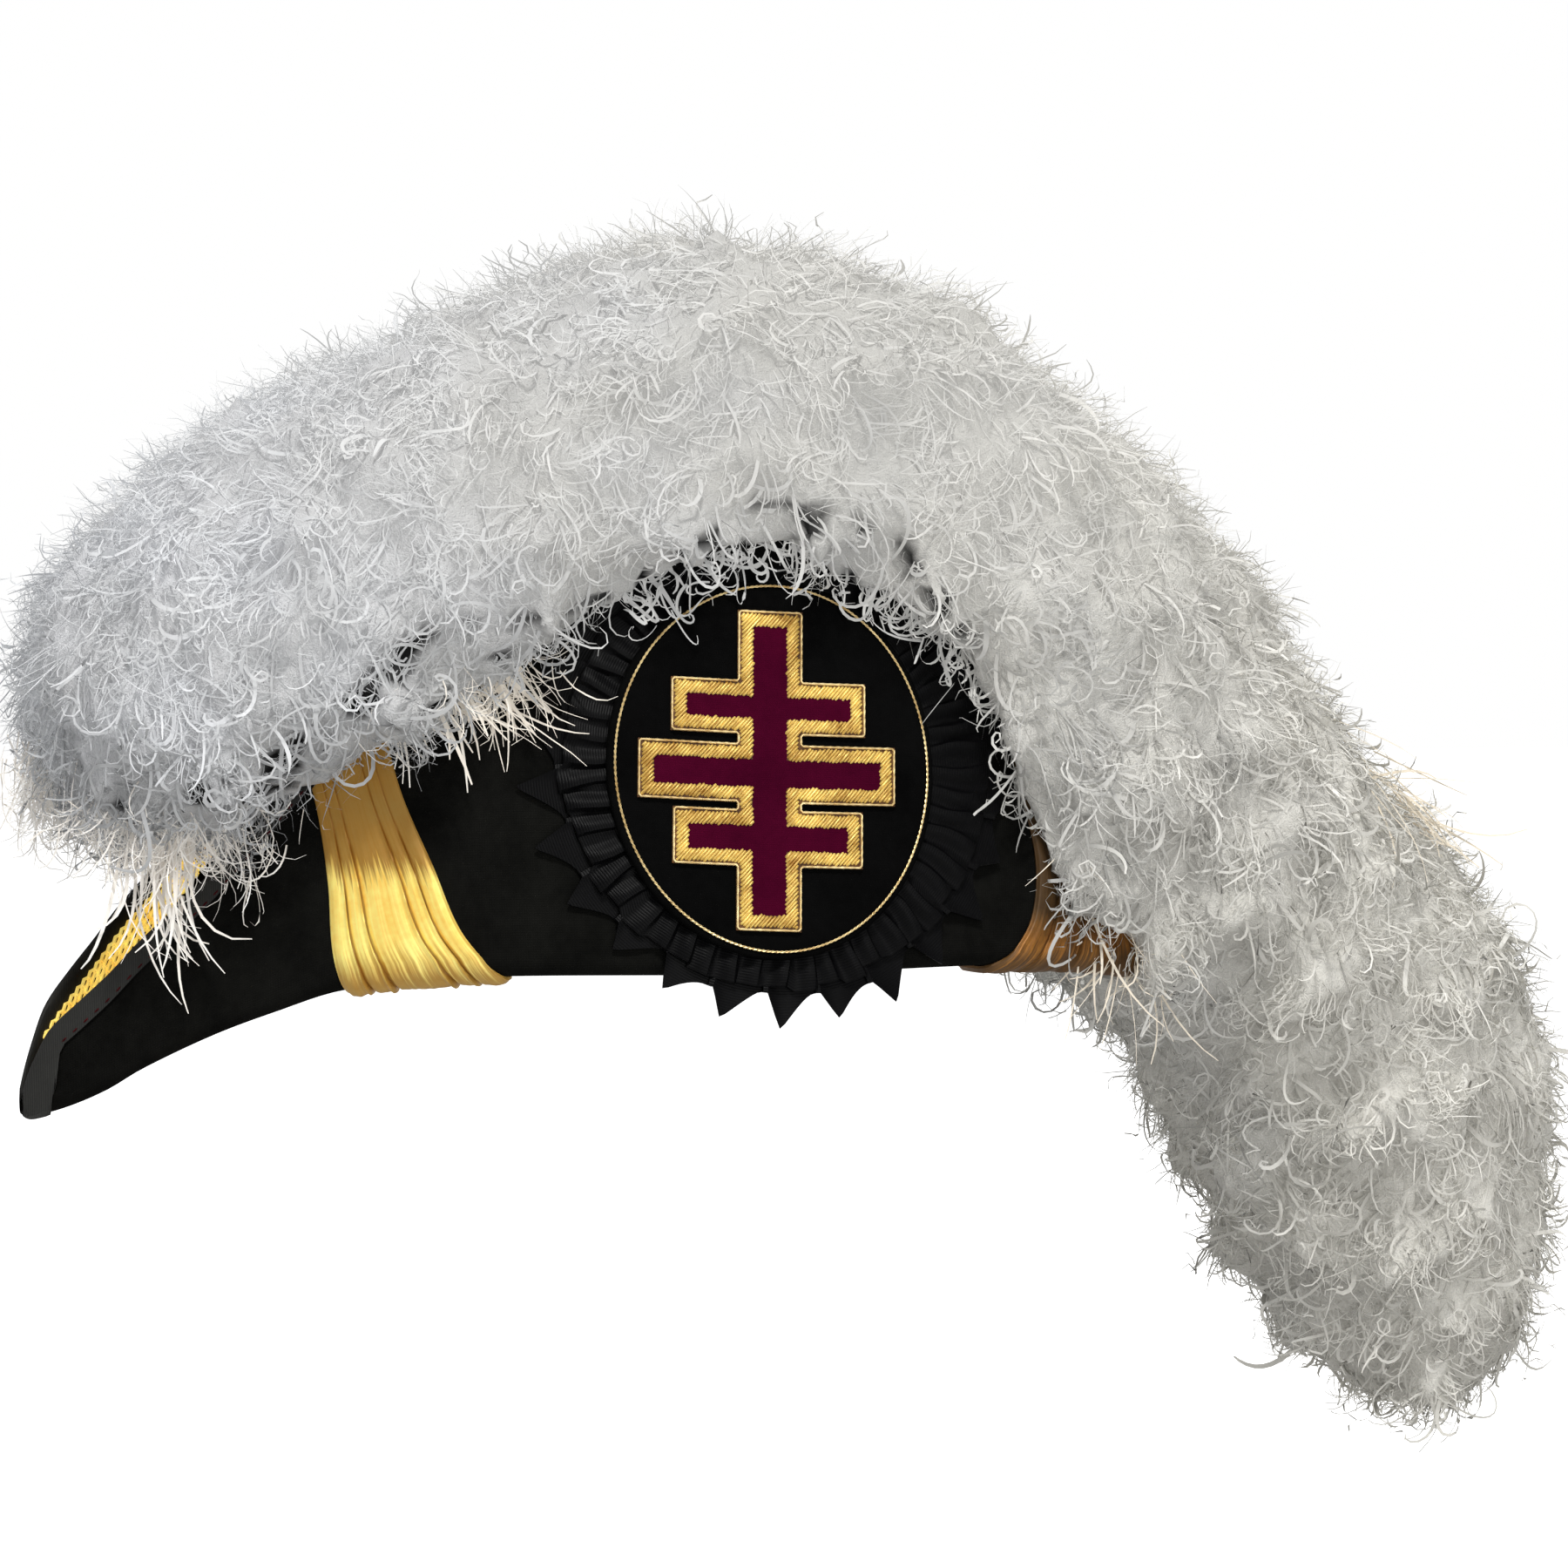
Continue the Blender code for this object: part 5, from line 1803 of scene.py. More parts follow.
    def stitch_grids(self, root: Array, tip: Array, draw: Draw) -> tuple[Array, Array]:
        """Stitches as half-round threads that arch over the border.

        Args:
            root: Where each starts, on the patch.
            tip: Where it ends.
            draw: What their small differences are drawn from.

        Returns:
            Their grids of points and cloth places.
        """
        along = np.array([0.0, 0.06, 0.2, 0.5, 0.8, 0.94, 1.0])
        arch = np.array([0.35, 0.75, 0.97, 1.0, 0.97, 0.75, 0.35])
        across = np.linspace(-1.0, 1.0, 6)
        middle = root[:, None] + (tip - root)[:, None] * along[None, :, None]
        side = unit(np.stack([-(tip - root)[:, 1], (tip - root)[:, 0]], axis=-1))
        width = self.pitch * draw.uniform(0.45, 0.58, len(root))
        flat = middle[:, :, None] + (side * width[:, None])[:, None, None] * across[:, None]
        height = self.crest * arch[None, :, None] * draw.uniform(0.86, 1.08, (len(root), 1, 1))
        bulge = self.thread_round * (np.sqrt(1.0 - (across * 0.98) ** 2) - 1.0)
        grids = self.on_patch(flat, height + bulge)
        shade = draw.random((len(root), 1, 1)) * 0.02
        return grids, pairs(shade + across[None, None] * 0.0002, along[None, :, None] * self.border)

    def build_line(self) -> None:
        """Makes the fine gold line round the border."""
        corners = self.outline(self.line_in)
        path = []
        for start, end in zip(corners, np.roll(corners, -1, axis=0)):
            length = float(np.linalg.norm(end - start))
            trim = min(self.line_trim, length / 4)
            direction = (end - start) / length
            steps = max(4, round(length / self.line_step))
            share = np.linspace(trim, length - trim, steps)[:, None]
            path.append(start + direction * share)
        flat = np.concatenate([*path, path[0][:1]])[None]
        twist = np.arange(flat.shape[1]) * self.line_twist
        lift = self.crest * self.line_lift + self.line_waver * np.sin(twist)
        line = self.on_patch(flat, lift[None])
        radius = self.line_radius * (1.0 + self.line_uneven * np.sin(twist))[None]
        pile = Pile().add_tubes(line, radius, np.array([0.0, -1.0, 0.2]), self.line_sides)
        pile.build("cross_outer_line", GOLD_CORD, "gold_thread")

    def build(self) -> None:
        """Makes the border and the fill."""
        self.build_ground()
        self.build_stitches()
        self.build_line()
        self.build_fill()


# Plume


@dataclass(frozen=True)
class Triangles:
    """A mesh's triangles."""

    corners: Array
    upright: Array
    areas: Array

    @classmethod
    def of(cls, body: bpy.types.Object) -> Triangles:
        """The triangles of an object's mesh.

        Args:
            body: The object.

        Returns:
            Its triangles.
        """
        mesh = body.data
        mesh.calc_loop_triangles()
        points = np.array([vertex.co for vertex in mesh.vertices])
        normals = np.array([vertex.normal for vertex in mesh.vertices])
        faces = np.array([triangle.vertices for triangle in mesh.loop_triangles])
        areas = np.array([triangle.area for triangle in mesh.loop_triangles])
        return cls(points[faces], normals[faces], areas)

    @property
    def middles(self) -> Array:
        """The middle of each triangle."""
        return self.corners.mean(axis=1)

    @property
    def normals(self) -> Array:
        """The normal of each triangle."""
        return unit(self.upright.mean(axis=1))

    def places(self, weights: Array, number: int, draw: Draw) -> tuple[Array, Array]:
        """Places spread over the triangles.

        Args:
            weights: How likely each triangle is.
            number: How many places.
            draw: What they are drawn from.

        Returns:
            The places and the normals there.
        """
        chosen = draw.choice(len(weights), number, p=weights / weights.sum())
        shares = draw.dirichlet((1.0, 1.0, 1.0), number)[..., None]
        points = (self.corners[chosen] * shares).sum(axis=1)
        return points, unit((self.upright[chosen] * shares).sum(axis=1))


@dataclass(frozen=True)
class BarbStyle:
    """How one kind of barb grows.

    Its lift is the angle from the surface at its root, and its curl the turn along it, of which a share
    lies flat in the surface. Its direction strays from its lock's by its spread, its tip is drawn to
    the lock by its pull, and by its softness its shading follows the plume's own form.
    """

    length: tuple[float, float]
    width: float
    lift: tuple[float, float]
    curl: tuple[float, float]
    flat: float
    spread: float
    segments: int
    pull: float = 0.3
    softness: float = 0.6


CURLED = BarbStyle((0.013, 0.030), 0.0008, (0.15, 0.85), (2.8, 6.8), 0.45, 0.6, 8, 0.15)
LAID = BarbStyle((0.012, 0.026), 0.00065, (0.05, 0.55), (0.5, 2.4), 0.6, 0.45, 5, 0.4)
FUZZ = BarbStyle((0.008, 0.020), 0.00034, (0.2, 1.3), (0.3, 2.2), 0.5, 1.0, 3, 0.2, 0.8)
LOOPED = BarbStyle((0.026, 0.046), 0.00105, (0.1, 0.8), (4.6, 8.6), 0.35, 0.8, 14, 0.0, 0.5)
CURLET = BarbStyle((0.012, 0.022), 0.0010, (0.1, 0.8), (3.0, 6.5), 0.35, 0.9, 12, 0.0, 0.6)
THICK = BarbStyle((0.013, 0.028), 0.0014, (0.2, 0.9), (1.4, 5.4), 0.5, 0.7, 9, 0.15, 0.55)
CLUMP = BarbStyle((0.010, 0.020), 0.0013, (0.0, 0.4), (0.6, 2.6), 0.5, 0.6, 8, 0.0, 0.8)
HANGING = BarbStyle((0.022, 0.042), 0.0010, (0.0, 0.3), (0.2, 1.5), 0.7, 0.16, 7, 0.0, 0.5)
STRAIGHT = BarbStyle((0.022, 0.036), 0.0011, (0.0, 0.3), (0.1, 0.7), 0.7, 0.14, 6, 0.0, 0.4)
WISP = BarbStyle((0.010, 0.026), 0.0005, (0.0, 0.6), (0.4, 2.6), 0.7, 0.4, 6, 0.0, 0.6)
SHAFT = BarbStyle((0.026, 0.048), 0.0008, (0.1, 0.5), (0.2, 0.9), 0.6, 0.35, 7, 0.0, 0.3)


class Roots(NamedTuple):
    """Where barbs grow from: roots, normals, and of the lock of each its lie, middle and darkness."""

    points: Array
    normals: Array
    lie: Array
    middle: Array
    # A random tone with painted shade: under the plume, at its edge and on its fall.
    shade: Array

    def part(self, chosen: Array | slice) -> Roots:
        """Some of the roots."""
        return Roots(*(values[chosen] for values in self))


@dataclass
class BarbPile:
    """Barbs that become one piece, kept out of the cloth by a gap. Each turns slowly at its start."""

    form: HatForm
    rosette: Rosette
    draw: Draw
    pile: Pile = field(default_factory=Pile)
    normals: list[Array] = field(default_factory=list)
    gap: float = 0.0012
    reach: float = 0.03
    sizes: tuple[float, float] = (0.45, 1.45)
    facing_stray: float = 0.45
    slow_start: float = 1.3
    guide_reach: float = 0.8

    def lines(self, style: BarbStyle, roots: Roots) -> Array:
        """The middle lines of barbs.

        Args:
            style: How they grow.
            roots: Where they grow from.

        Returns:
            Points, as barbs by steps by 3.
        """
        number = len(roots.points)
        lie = turned(roots.lie, roots.normals, self.draw.normal(0.0, style.spread, number))
        lift = self.draw.uniform(*style.lift, number)[:, None]
        heading = lie * np.cos(lift) + roots.normals * np.sin(lift)
        over = np.cross(roots.normals, lie)
        swing = self.draw.choice([-1.0, 1.0], number)[:, None]
        tilt = self.draw.uniform(0.0, 2 * style.flat, number)[:, None]
        axis = unit(over * (1.0 - tilt) + roots.normals * tilt * swing)
        turn = self.draw.uniform(*style.curl, number)
        length = self.draw.uniform(*style.length, number)
        shares = (np.arange(style.segments) + 0.5) / style.segments
        pace = shares**self.slow_start / (shares**self.slow_start).sum()
        line, point = [roots.points], roots.points
        for share in pace:
            heading = unit(turned(heading, axis, turn * share))
            point = point + heading * (length / style.segments)[:, None]
            line.append(point)
        line = np.stack(line, axis=1)
        place = np.linspace(0.0, 1.0, style.segments + 1)[:, None]
        ahead = (roots.lie * 0.9 + roots.normals * 0.35) * length[:, None]
        guide = roots.middle + ahead * self.guide_reach
        drawn = style.pull * place**1.5
        line = line * (1.0 - drawn) + guide[:, None] * drawn
        return self.form.kept_out(line, self.rosette, self.gap, self.reach)

    def grow(self, style: BarbStyle, roots: Roots) -> None:
        """Grows barbs into the piece.

        Args:
            style: How they grow.
            roots: Where they grow from.
        """
        number = len(roots.points)
        line = self.lines(style, roots)
        along = unit(np.gradient(line, axis=1))
        facing = unit(roots.normals + self.draw.normal(0.0, self.facing_stray, (number, 3)))[:, None]
        side = unit(np.cross(along, facing))
        place = np.linspace(0.0, 1.0, style.segments + 1)
        taper = 0.75 + 0.6 * place - 1.05 * place**2.2
        size = style.width * self.draw.uniform(*self.sizes, (number, 1, 1))
        wide = size * taper[None, :, None] / 2
        grids = np.stack([line - side * wide, line + side * wide], axis=2)
        face = np.cross(side, along)
        outward = (face * roots.normals[:, None]).sum(-1, keepdims=True)
        face = face * np.where(outward < 0.0, -1.0, 1.0)
        soft = unit(roots.normals[:, None] * style.softness + face * (1.0 - style.softness))
        shade = 0.55 * roots.shade[:, None, None] + 0.45 * self.draw.random((number, 1, 1))
        self.pile.add_grids(grids, pairs(shade * np.ones((1, 1, 2)), place[None, :, None]))
        self.normals.append(np.repeat(soft[:, :, None], 2, axis=2).reshape(-1, 3))

    def build(self, name: str, finish: Finish) -> None:
        """Makes the piece, with each face turned to the side that its shading normal is on.

        Args:
            name: Its name.
            finish: Its finish.
        """
        points = np.concatenate(self.pile.points)
        normals = np.concatenate(self.normals)
        faces = np.concatenate(self.pile.faces)
        corners = np.concatenate(self.pile.corners)
        across = points[faces[:, 2]] - points[faces[:, 0]]
        over = points[faces[:, 3]] - points[faces[:, 1]]
        back = (np.cross(across, over) * normals[faces].sum(axis=1)).sum(-1) < 0.0
        faces[back] = faces[back][:, ::-1]
        corners[back] = corners[back][:, ::-1]
        self.pile.faces, self.pile.corners = [faces], [corners]
        self.pile.build(name, finish, "white_feather", closed=False, normals=normals)


@dataclass(frozen=True)
class Fringe:
    """Barbs that grow along a line at the plume's edge and point one way.

    Their roots scatter about the line. Each is darkened by the shade, painted shade where a fringe
    lies at the plume's shaded edge, and by a little more at random.
    """

    style: BarbStyle
    start: Triple
    end: Triple
    heading: Triple
    number: int
    scatter: float = 0.004
    shade: float = 0.0
    facing: Triple = (0.1, -1.0, 0.3)

    def roots(self, draw: Draw) -> Roots:
        """The barbs' roots.

        Args:
            draw: What they are drawn from.

        Returns:
            The roots.
        """
        start, end = np.array(self.start), np.array(self.end)
        places = draw.random((self.number, 1))
        points = start + (end - start) * places + draw.normal(0.0, self.scatter, (self.number, 3))
        facing = np.broadcast_to(unit(np.array(self.facing)), points.shape)
        heading = np.array(self.heading)
        lie = unit(heading - facing * (heading * facing).sum(-1, keepdims=True))
        return Roots(points, facing, lie, points, self.shade + draw.random(self.number) * 0.5)


# Curlets and clumps make the plume's edge over the patch, darkened by their shade: painted shade there.
OVER_PATCH = (
    Fringe(CURLET, (-0.044, -0.066, 0.112), (-0.008, -0.066, 0.132), (0.2, -0.2, -1.0), 34, 0.006, 0.6),
    Fringe(CURLET, (-0.008, -0.066, 0.133), (0.036, -0.066, 0.125), (-0.1, -0.2, -1.0), 44, 0.006, 0.6),
    Fringe(CURLET, (0.036, -0.066, 0.123), (0.068, -0.064, 0.092), (-0.4, -0.2, -0.9), 40, 0.006, 0.6),
    Fringe(CLUMP, (-0.050, -0.066, 0.120), (-0.006, -0.068, 0.144), (0.2, -0.2, -1.0), 70, 0.006, 0.7),
    Fringe(CLUMP, (-0.006, -0.068, 0.146), (0.040, -0.068, 0.139), (-0.2, -0.2, -1.0), 70, 0.006, 0.7),
    Fringe(CLUMP, (0.040, -0.068, 0.137), (0.084, -0.064, 0.084), (-0.4, -0.2, -0.9), 70, 0.006, 0.7),
)
DOWNWARD, SLANTED = (-0.1, -0.1, -1.0), (0.42, -0.1, -0.9)
FRINGES = (
    Fringe(STRAIGHT, (-0.120, -0.069, 0.092), (-0.078, -0.066, 0.092), SLANTED, 42),
    Fringe(WISP, (-0.124, -0.066, 0.096), (-0.074, -0.064, 0.092), SLANTED, 300, 0.005),
    Fringe(STRAIGHT, (-0.096, -0.071, 0.084), (-0.080, -0.069, 0.082), (0.75, -0.1, -0.6), 6),
    Fringe(HANGING, (-0.186, -0.034, 0.036), (-0.166, -0.038, 0.034), DOWNWARD, 34),
    Fringe(WISP, (-0.194, -0.028, 0.050), (-0.150, -0.040, 0.046), DOWNWARD, 440, 0.006),
    Fringe(WISP, (-0.206, 0.012, 0.060), (-0.176, 0.020, 0.054), (-0.1, 0.0, -1.0), 620, 0.006),
    Fringe(SHAFT, (0.195, -0.050, 0.062), (0.225, -0.030, 0.045), (0.8, -0.3, -0.5), 26),
    Fringe(SHAFT, (0.105, -0.062, 0.022), (0.125, -0.060, 0.000), (-0.5, -0.2, -0.9), 16),
    Fringe(WISP, (0.100, -0.062, 0.040), (0.130, -0.060, 0.000), (-0.4, -0.2, -0.9), 160, 0.006),
)
LOWER_EDGE = Curve(
    (-0.20, -0.157, -0.130, -0.108, -0.048, -0.007, 0.034, 0.061, 0.080, 0.11),
    (0.054, 0.058, 0.078, 0.098, 0.109, 0.136, 0.128, 0.105, 0.06, 0.02),
)


@dataclass
class Plume:
    """The ostrich plume: a soft body of down under a coat of curled barbs that gather in locks.

    The down has lumps, tufts and locks, whose noise makes some turns in a metre. The barbs lie down,
    sideways and lengthwise by those shares, and grow only where there is clear room. They are thinner
    below and at the edge, and calmer high up.
    """

    form: HatForm
    rosette: Rosette
    nodes: tuple[str, ...] = ("plume_front", "plume_crest", "plume_fall", "plume_tail")
    coat: tuple[tuple[BarbStyle, int], ...] = ((CURLED, 3300), (LAID, 3600), (FUZZ, 11000))
    voxel: float = 0.0038
    smoothings: int = 5
    lump_turns: float = 42.0
    lump_height: float = 0.0050
    tuft_turns: float = 110.0
    tuft_height: float = 0.0022
    lock_turns: tuple[float, float] = (45.0, 170.0)
    lock_height: float = 0.0026
    hole_depth: float = 0.0035
    lowered: float = 0.0012
    down: float = 0.75
    sideways: float = 0.35
    lengthwise: float = 0.5
    lock_area: float = 0.00014
    lock_stray: float = 0.85
    clear: float = 0.008
    clear_from: float = 0.0055
    sunk: float = 0.0015
    loops: int = 760
    thick: int = 2200
    thick_calm: float = 0.9
    calm: float = 0.6
    thin_below: float = 0.8
    thin_edge: float = 0.5
    steep: float = 0.65
    last_hole: float = 0.09
    hole_fade: float = 0.03
    edge_reach: tuple[float, float] = (-0.004, 0.03)
    left_reach: tuple[float, float] = (-0.03, -0.01)
    fall_start: tuple[float, float] = (-0.04, 0.04)
    fall_end: tuple[float, float] = (0.16, 0.21)
    gap: float = 0.0018
    reach: float = 0.02
    calm_from: float = 0.09
    calm_to: float = 0.15
    seed: int = 23

    def lie(self, points: Array, normals: Array) -> Array:
        """The way the plume lies: down both sides from its crest, and towards its ends.

        Args:
            points: Points of its surface.
            normals: The surface's normals there.

        Returns:
            Unit vectors in the surface.
        """
        rearward = np.where(points[:, :1] >= 0.0, 1.0, -1.0)
        run = unit(np.stack([points[:, 2], np.zeros(len(points)), -points[:, 0]], axis=-1))
        out = np.zeros_like(points)
        out[:, 1] = np.sign(points[:, 1])
        fall = np.array([0.0, 0.0, -self.down])
        lie = fall + out * self.sideways + run * rearward * self.lengthwise
        lie = lie - normals * (lie * normals).sum(-1, keepdims=True)
        return unit(lie + 1e-6)

    def under(self, normals: Array) -> Array:
        """How far the surface turns down, from 0 on top and at the side to 1 below."""
        return smooth_step(-normals[:, 2], 0.0, self.steep)

    def edge(self, points: Array) -> Array:
        """How near points are to the edge that hangs over the hat's left side.

        Args:
            points: Points of the plume's surface.

        Returns:
            From 0 far over that edge to 1 at it and below it.
        """
        above = points[:, 2] - LOWER_EDGE.at(points[:, 0])
        ahead = 1.0 - smooth_step(points[:, 0], self.last_hole - self.hole_fade, self.last_hole)
        left = 1.0 - smooth_step(points[:, 1], *self.left_reach)
        return (1.0 - smooth_step(above, *self.edge_reach)) * ahead * left

    def fall(self, points: Array) -> Array:
        """How far points lie on the plume's fall behind the rosette, from 0 to 1."""
        x = points[:, 0]
        return smooth_step(x, *self.fall_start) * (1.0 - smooth_step(x, *self.fall_end))

    def solids_tree(self) -> BVHTree:
        """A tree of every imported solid, to tell which surface is hidden.

        Returns:
            The tree.
        """
        points: list[Vector] = []
        faces: list[tuple[int, ...]] = []
        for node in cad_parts.values():
            start = len(points)
            points += [vertex.co.copy() for vertex in node.data.vertices]
            faces += [tuple(start + v for v in face.vertices) for face in node.data.polygons]
        return BVHTree.FromPolygons(points, faces)

    def fused(self) -> bpy.types.Mesh:
        """The plume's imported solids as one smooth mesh.

        Returns:
            The mesh.
        """
        shape = bmesh.new()
        for node in self.nodes:
            shape.from_mesh(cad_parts[node].data)
        joined = bpy.data.meshes.new("joined")
        shape.to_mesh(joined)
        shape.free()
        rough = add_object("rough", joined)
        remesh = rough.modifiers.new("Remesh", "REMESH")
        remesh.mode = "VOXEL"
        remesh.voxel_size = self.voxel
        rough.modifiers.new("Smooth", "SMOOTH").iterations = self.smoothings
        graph = bpy.context.evaluated_depsgraph_get()
        mesh = bpy.data.meshes.new_from_object(rough.evaluated_get(graph))
        bpy.data.objects.remove(rough)
        mesh.name = "plume_down"
        return mesh

    def down_body(self) -> bpy.types.Object:
        """The soft body under the barbs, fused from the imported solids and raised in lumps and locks.

        Returns:
            The body, which stands for those solids.
        """
        mesh = self.fused()
        points = np.empty(len(mesh.vertices) * 3, np.float32)
        mesh.vertices.foreach_get("co", points)
        points = points.reshape(-1, 3)
        normals = np.array([vertex.normal for vertex in mesh.vertices])
        lie = self.lie(points, normals)
        run, side = (points * lie).sum(-1), (points * np.cross(normals, lie)).sum(-1)
        lumps, tufts = noise_at(points * self.lump_turns), noise_at(points * self.tuft_turns)
        locks = noise_at(np.stack([run, side, run], axis=-1) * (*self.lock_turns, 0.0))
        under = self.under(normals)
        edge = self.edge(points)
        # The holes are sunk into the body, and the shade below paints them near-black: painted shade
        # between curls near the edge over the left side.
        holes = smooth_step(tufts + 0.6 * lumps, 0.0, 0.3) * smooth_step(under, 0.0, 0.4)
        holes = np.maximum(holes, smooth_step(tufts + 0.8 * lumps, 0.16, 0.3) * 0.9)
        holes *= smooth_step(edge, 0.78, 1.0)
        rise = self.lump_height * lumps + self.tuft_height * tufts + self.lock_height * locks
        rise = rise - self.lowered - self.hole_depth * holes
        points = points + normals * rise[:, None]
        points = self.form.kept_out(points, self.rosette, self.gap, self.reach)
        mesh.vertices.foreach_set("co", points.astype(np.float32).ravel())
        corner = np.empty(len(mesh.loops), np.int32)
        mesh.loops.foreach_get("vertex_index", corner)
        # Painted shade, carried to the finish in the cloth places: darker near the edge over the left side,
        # on the fall behind the rosette, in the dips between lumps and locks, and where the body turns
        # under.
        tone = 0.2 + 0.3 * edge + 0.14 * self.fall(points) - 0.5 * (lumps + locks)
        shade = np.clip(tone, 0.0, 0.52) * (1.0 - holes) + holes
        places = np.stack([shade, 0.6 - 0.5 * under], axis=-1)[corner]
        mesh.uv_layers.new(name=UV_NAME).data.foreach_set("uv", places.astype(np.float32).ravel())
        mesh.materials.clear()
        mesh.materials.append(DOWN.material())
        mesh.shade_smooth()
        mesh.update()
        piece = add_piece("plume_down", mesh)
        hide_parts(*self.nodes)
        return piece

    def roots(self, triangles: Triangles, near: Array, number: int, draw: Draw) -> Roots:
        """Roots on a part of the body, gathered in locks.

        Args:
            triangles: The body's triangles.
            near: How much each triangle counts.
            number: How many roots.
            draw: What the roots are drawn from.

        Returns:
            The roots.
        """
        weights = triangles.areas * near
        locks = max(8, round(weights.sum() / self.lock_area))
        middles, upright = triangles.places(weights, locks, draw)
        lies = self.lie(middles, upright)
        lies = turned(lies, upright, draw.normal(0.0, self.lock_stray, locks))
        shades = draw.random(locks)
        tree = KDTree(locks)
        for index, middle in enumerate(middles):
            tree.insert(middle, index)
        tree.balance()
        points, normals = triangles.places(weights, number, draw)
        lock = np.array([tree.find(point)[1] for point in points])
        lie = lies[lock] - normals * (lies[lock] * normals).sum(-1, keepdims=True)
        sunk = points - normals * self.sunk
        # Painted shade: roots that face down or lie near the edge over the left side get darker, and locks
        # on the fall behind the rosette darker still, over each lock's random tone.
        darker = 0.45 * self.under(normals) + 0.5 * self.edge(points)
        shade = shades[lock] * (1.0 + 0.45 * self.fall(points))
        shade = np.clip(shade + darker, 0.0, 1.3)
        return Roots(sunk, normals, unit(lie), middles[lock], shade)

    def shows(self, point: Array, normal: Array, tree: BVHTree) -> bool:
        """Whether a place on the body has room over it.

        Args:
            point: The place.
            normal: The surface's normal there.
            tree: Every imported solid.

        Returns:
            True where no solid is near.
        """
        direction = Vector(normal).normalized()
        start = Vector(point) + direction * self.clear_from
        return tree.ray_cast(start, direction, self.clear)[0] is None

    def bare(self, style: BarbStyle, roots: Roots) -> Array:
        """How bare the coat is of one kind of barb at each root.

        Args:
            style: The kind.
            roots: The roots.

        Returns:
            From 0, where every barb stays, to 1.
        """
        if style is CURLED:
            return self.calm * smooth_step(roots.points[:, 2], self.calm_from, self.calm_to)
        below = self.thin_below * self.under(roots.normals)
        return np.maximum(below, self.thin_edge * self.edge(roots.points))

    def build_coat(self, triangles: Triangles, shown: Array, draw: Draw) -> None:
        """Makes the coat of barbs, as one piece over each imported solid.

        Args:
            triangles: The body's triangles.
            shown: Which of them have room over them.
            draw: What the barbs are drawn from.
        """
        boxes = [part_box(node) for node in self.nodes]
        middles = np.array([(low + high) / 2 for low, high in boxes])
        spans = np.array([(high - low) / 2 for low, high in boxes])
        away = (triangles.middles[:, None] - middles) / spans
        nearest = np.argmin(np.abs(away).max(axis=-1), axis=1)
        for index, node in enumerate(self.nodes):
            near = shown * (nearest == index)
            roots = self.roots(triangles, near, sum(count for _, count in self.coat), draw)
            coat, start = BarbPile(self.form, self.rosette, draw), 0
            for style, count in self.coat:
                some = roots.part(slice(start, start + count))
                coat.grow(style, some.part(draw.random(count) >= self.bare(style, some)))
                start += count
            coat.build(f"{node}_barbs", BARB)

    def build_edge(self, triangles: Triangles, shown: Array, draw: Draw) -> None:
        """Makes the larger barbs: along the edge over the left side, and thick ones that lie low.

        Args:
            triangles: The body's triangles.
            shown: Which of them have room over them.
            draw: What the barbs are drawn from.
        """
        edge = shown * np.sin(math.pi * np.clip(self.under(triangles.normals), 0, 1))
        edge *= triangles.middles[:, 1] < 0.0
        larger = BarbPile(self.form, self.rosette, draw)
        larger.grow(LOOPED, self.roots(triangles, edge, self.loops, draw))
        high = smooth_step(triangles.middles[:, 2], self.calm_from, self.calm_to)
        low = shown * (1.0 - self.thick_calm * high)
        larger.grow(THICK, self.roots(triangles, low, self.thick, draw))
        for part in OVER_PATCH:
            larger.grow(part.style, part.roots(draw))
        larger.build("plume_edge_loops", BARB)

    def build(self) -> None:
        """Makes the body, its coat, the larger barbs and the straight ones."""
        tree = self.solids_tree()
        draw = np.random.default_rng(self.seed)
        triangles = Triangles.of(self.down_body())
        seen = [self.shows(p, n, tree) for p, n in zip(triangles.middles, triangles.normals)]
        shown = np.array(seen, float)
        self.build_coat(triangles, shown, draw)
        self.build_edge(triangles, shown, draw)
        fringe = BarbPile(self.form, self.rosette, draw)
        for part in FRINGES:
            fringe.grow(part.style, part.roots(draw))
        fringe.build("plume_straight_barbs", STRAW_BARB)


# Studio


@dataclass(frozen=True)
class Softbox:
    """A soft light."""

    name: str
    place: Triple
    size: float
    power: float
    tint: Triple


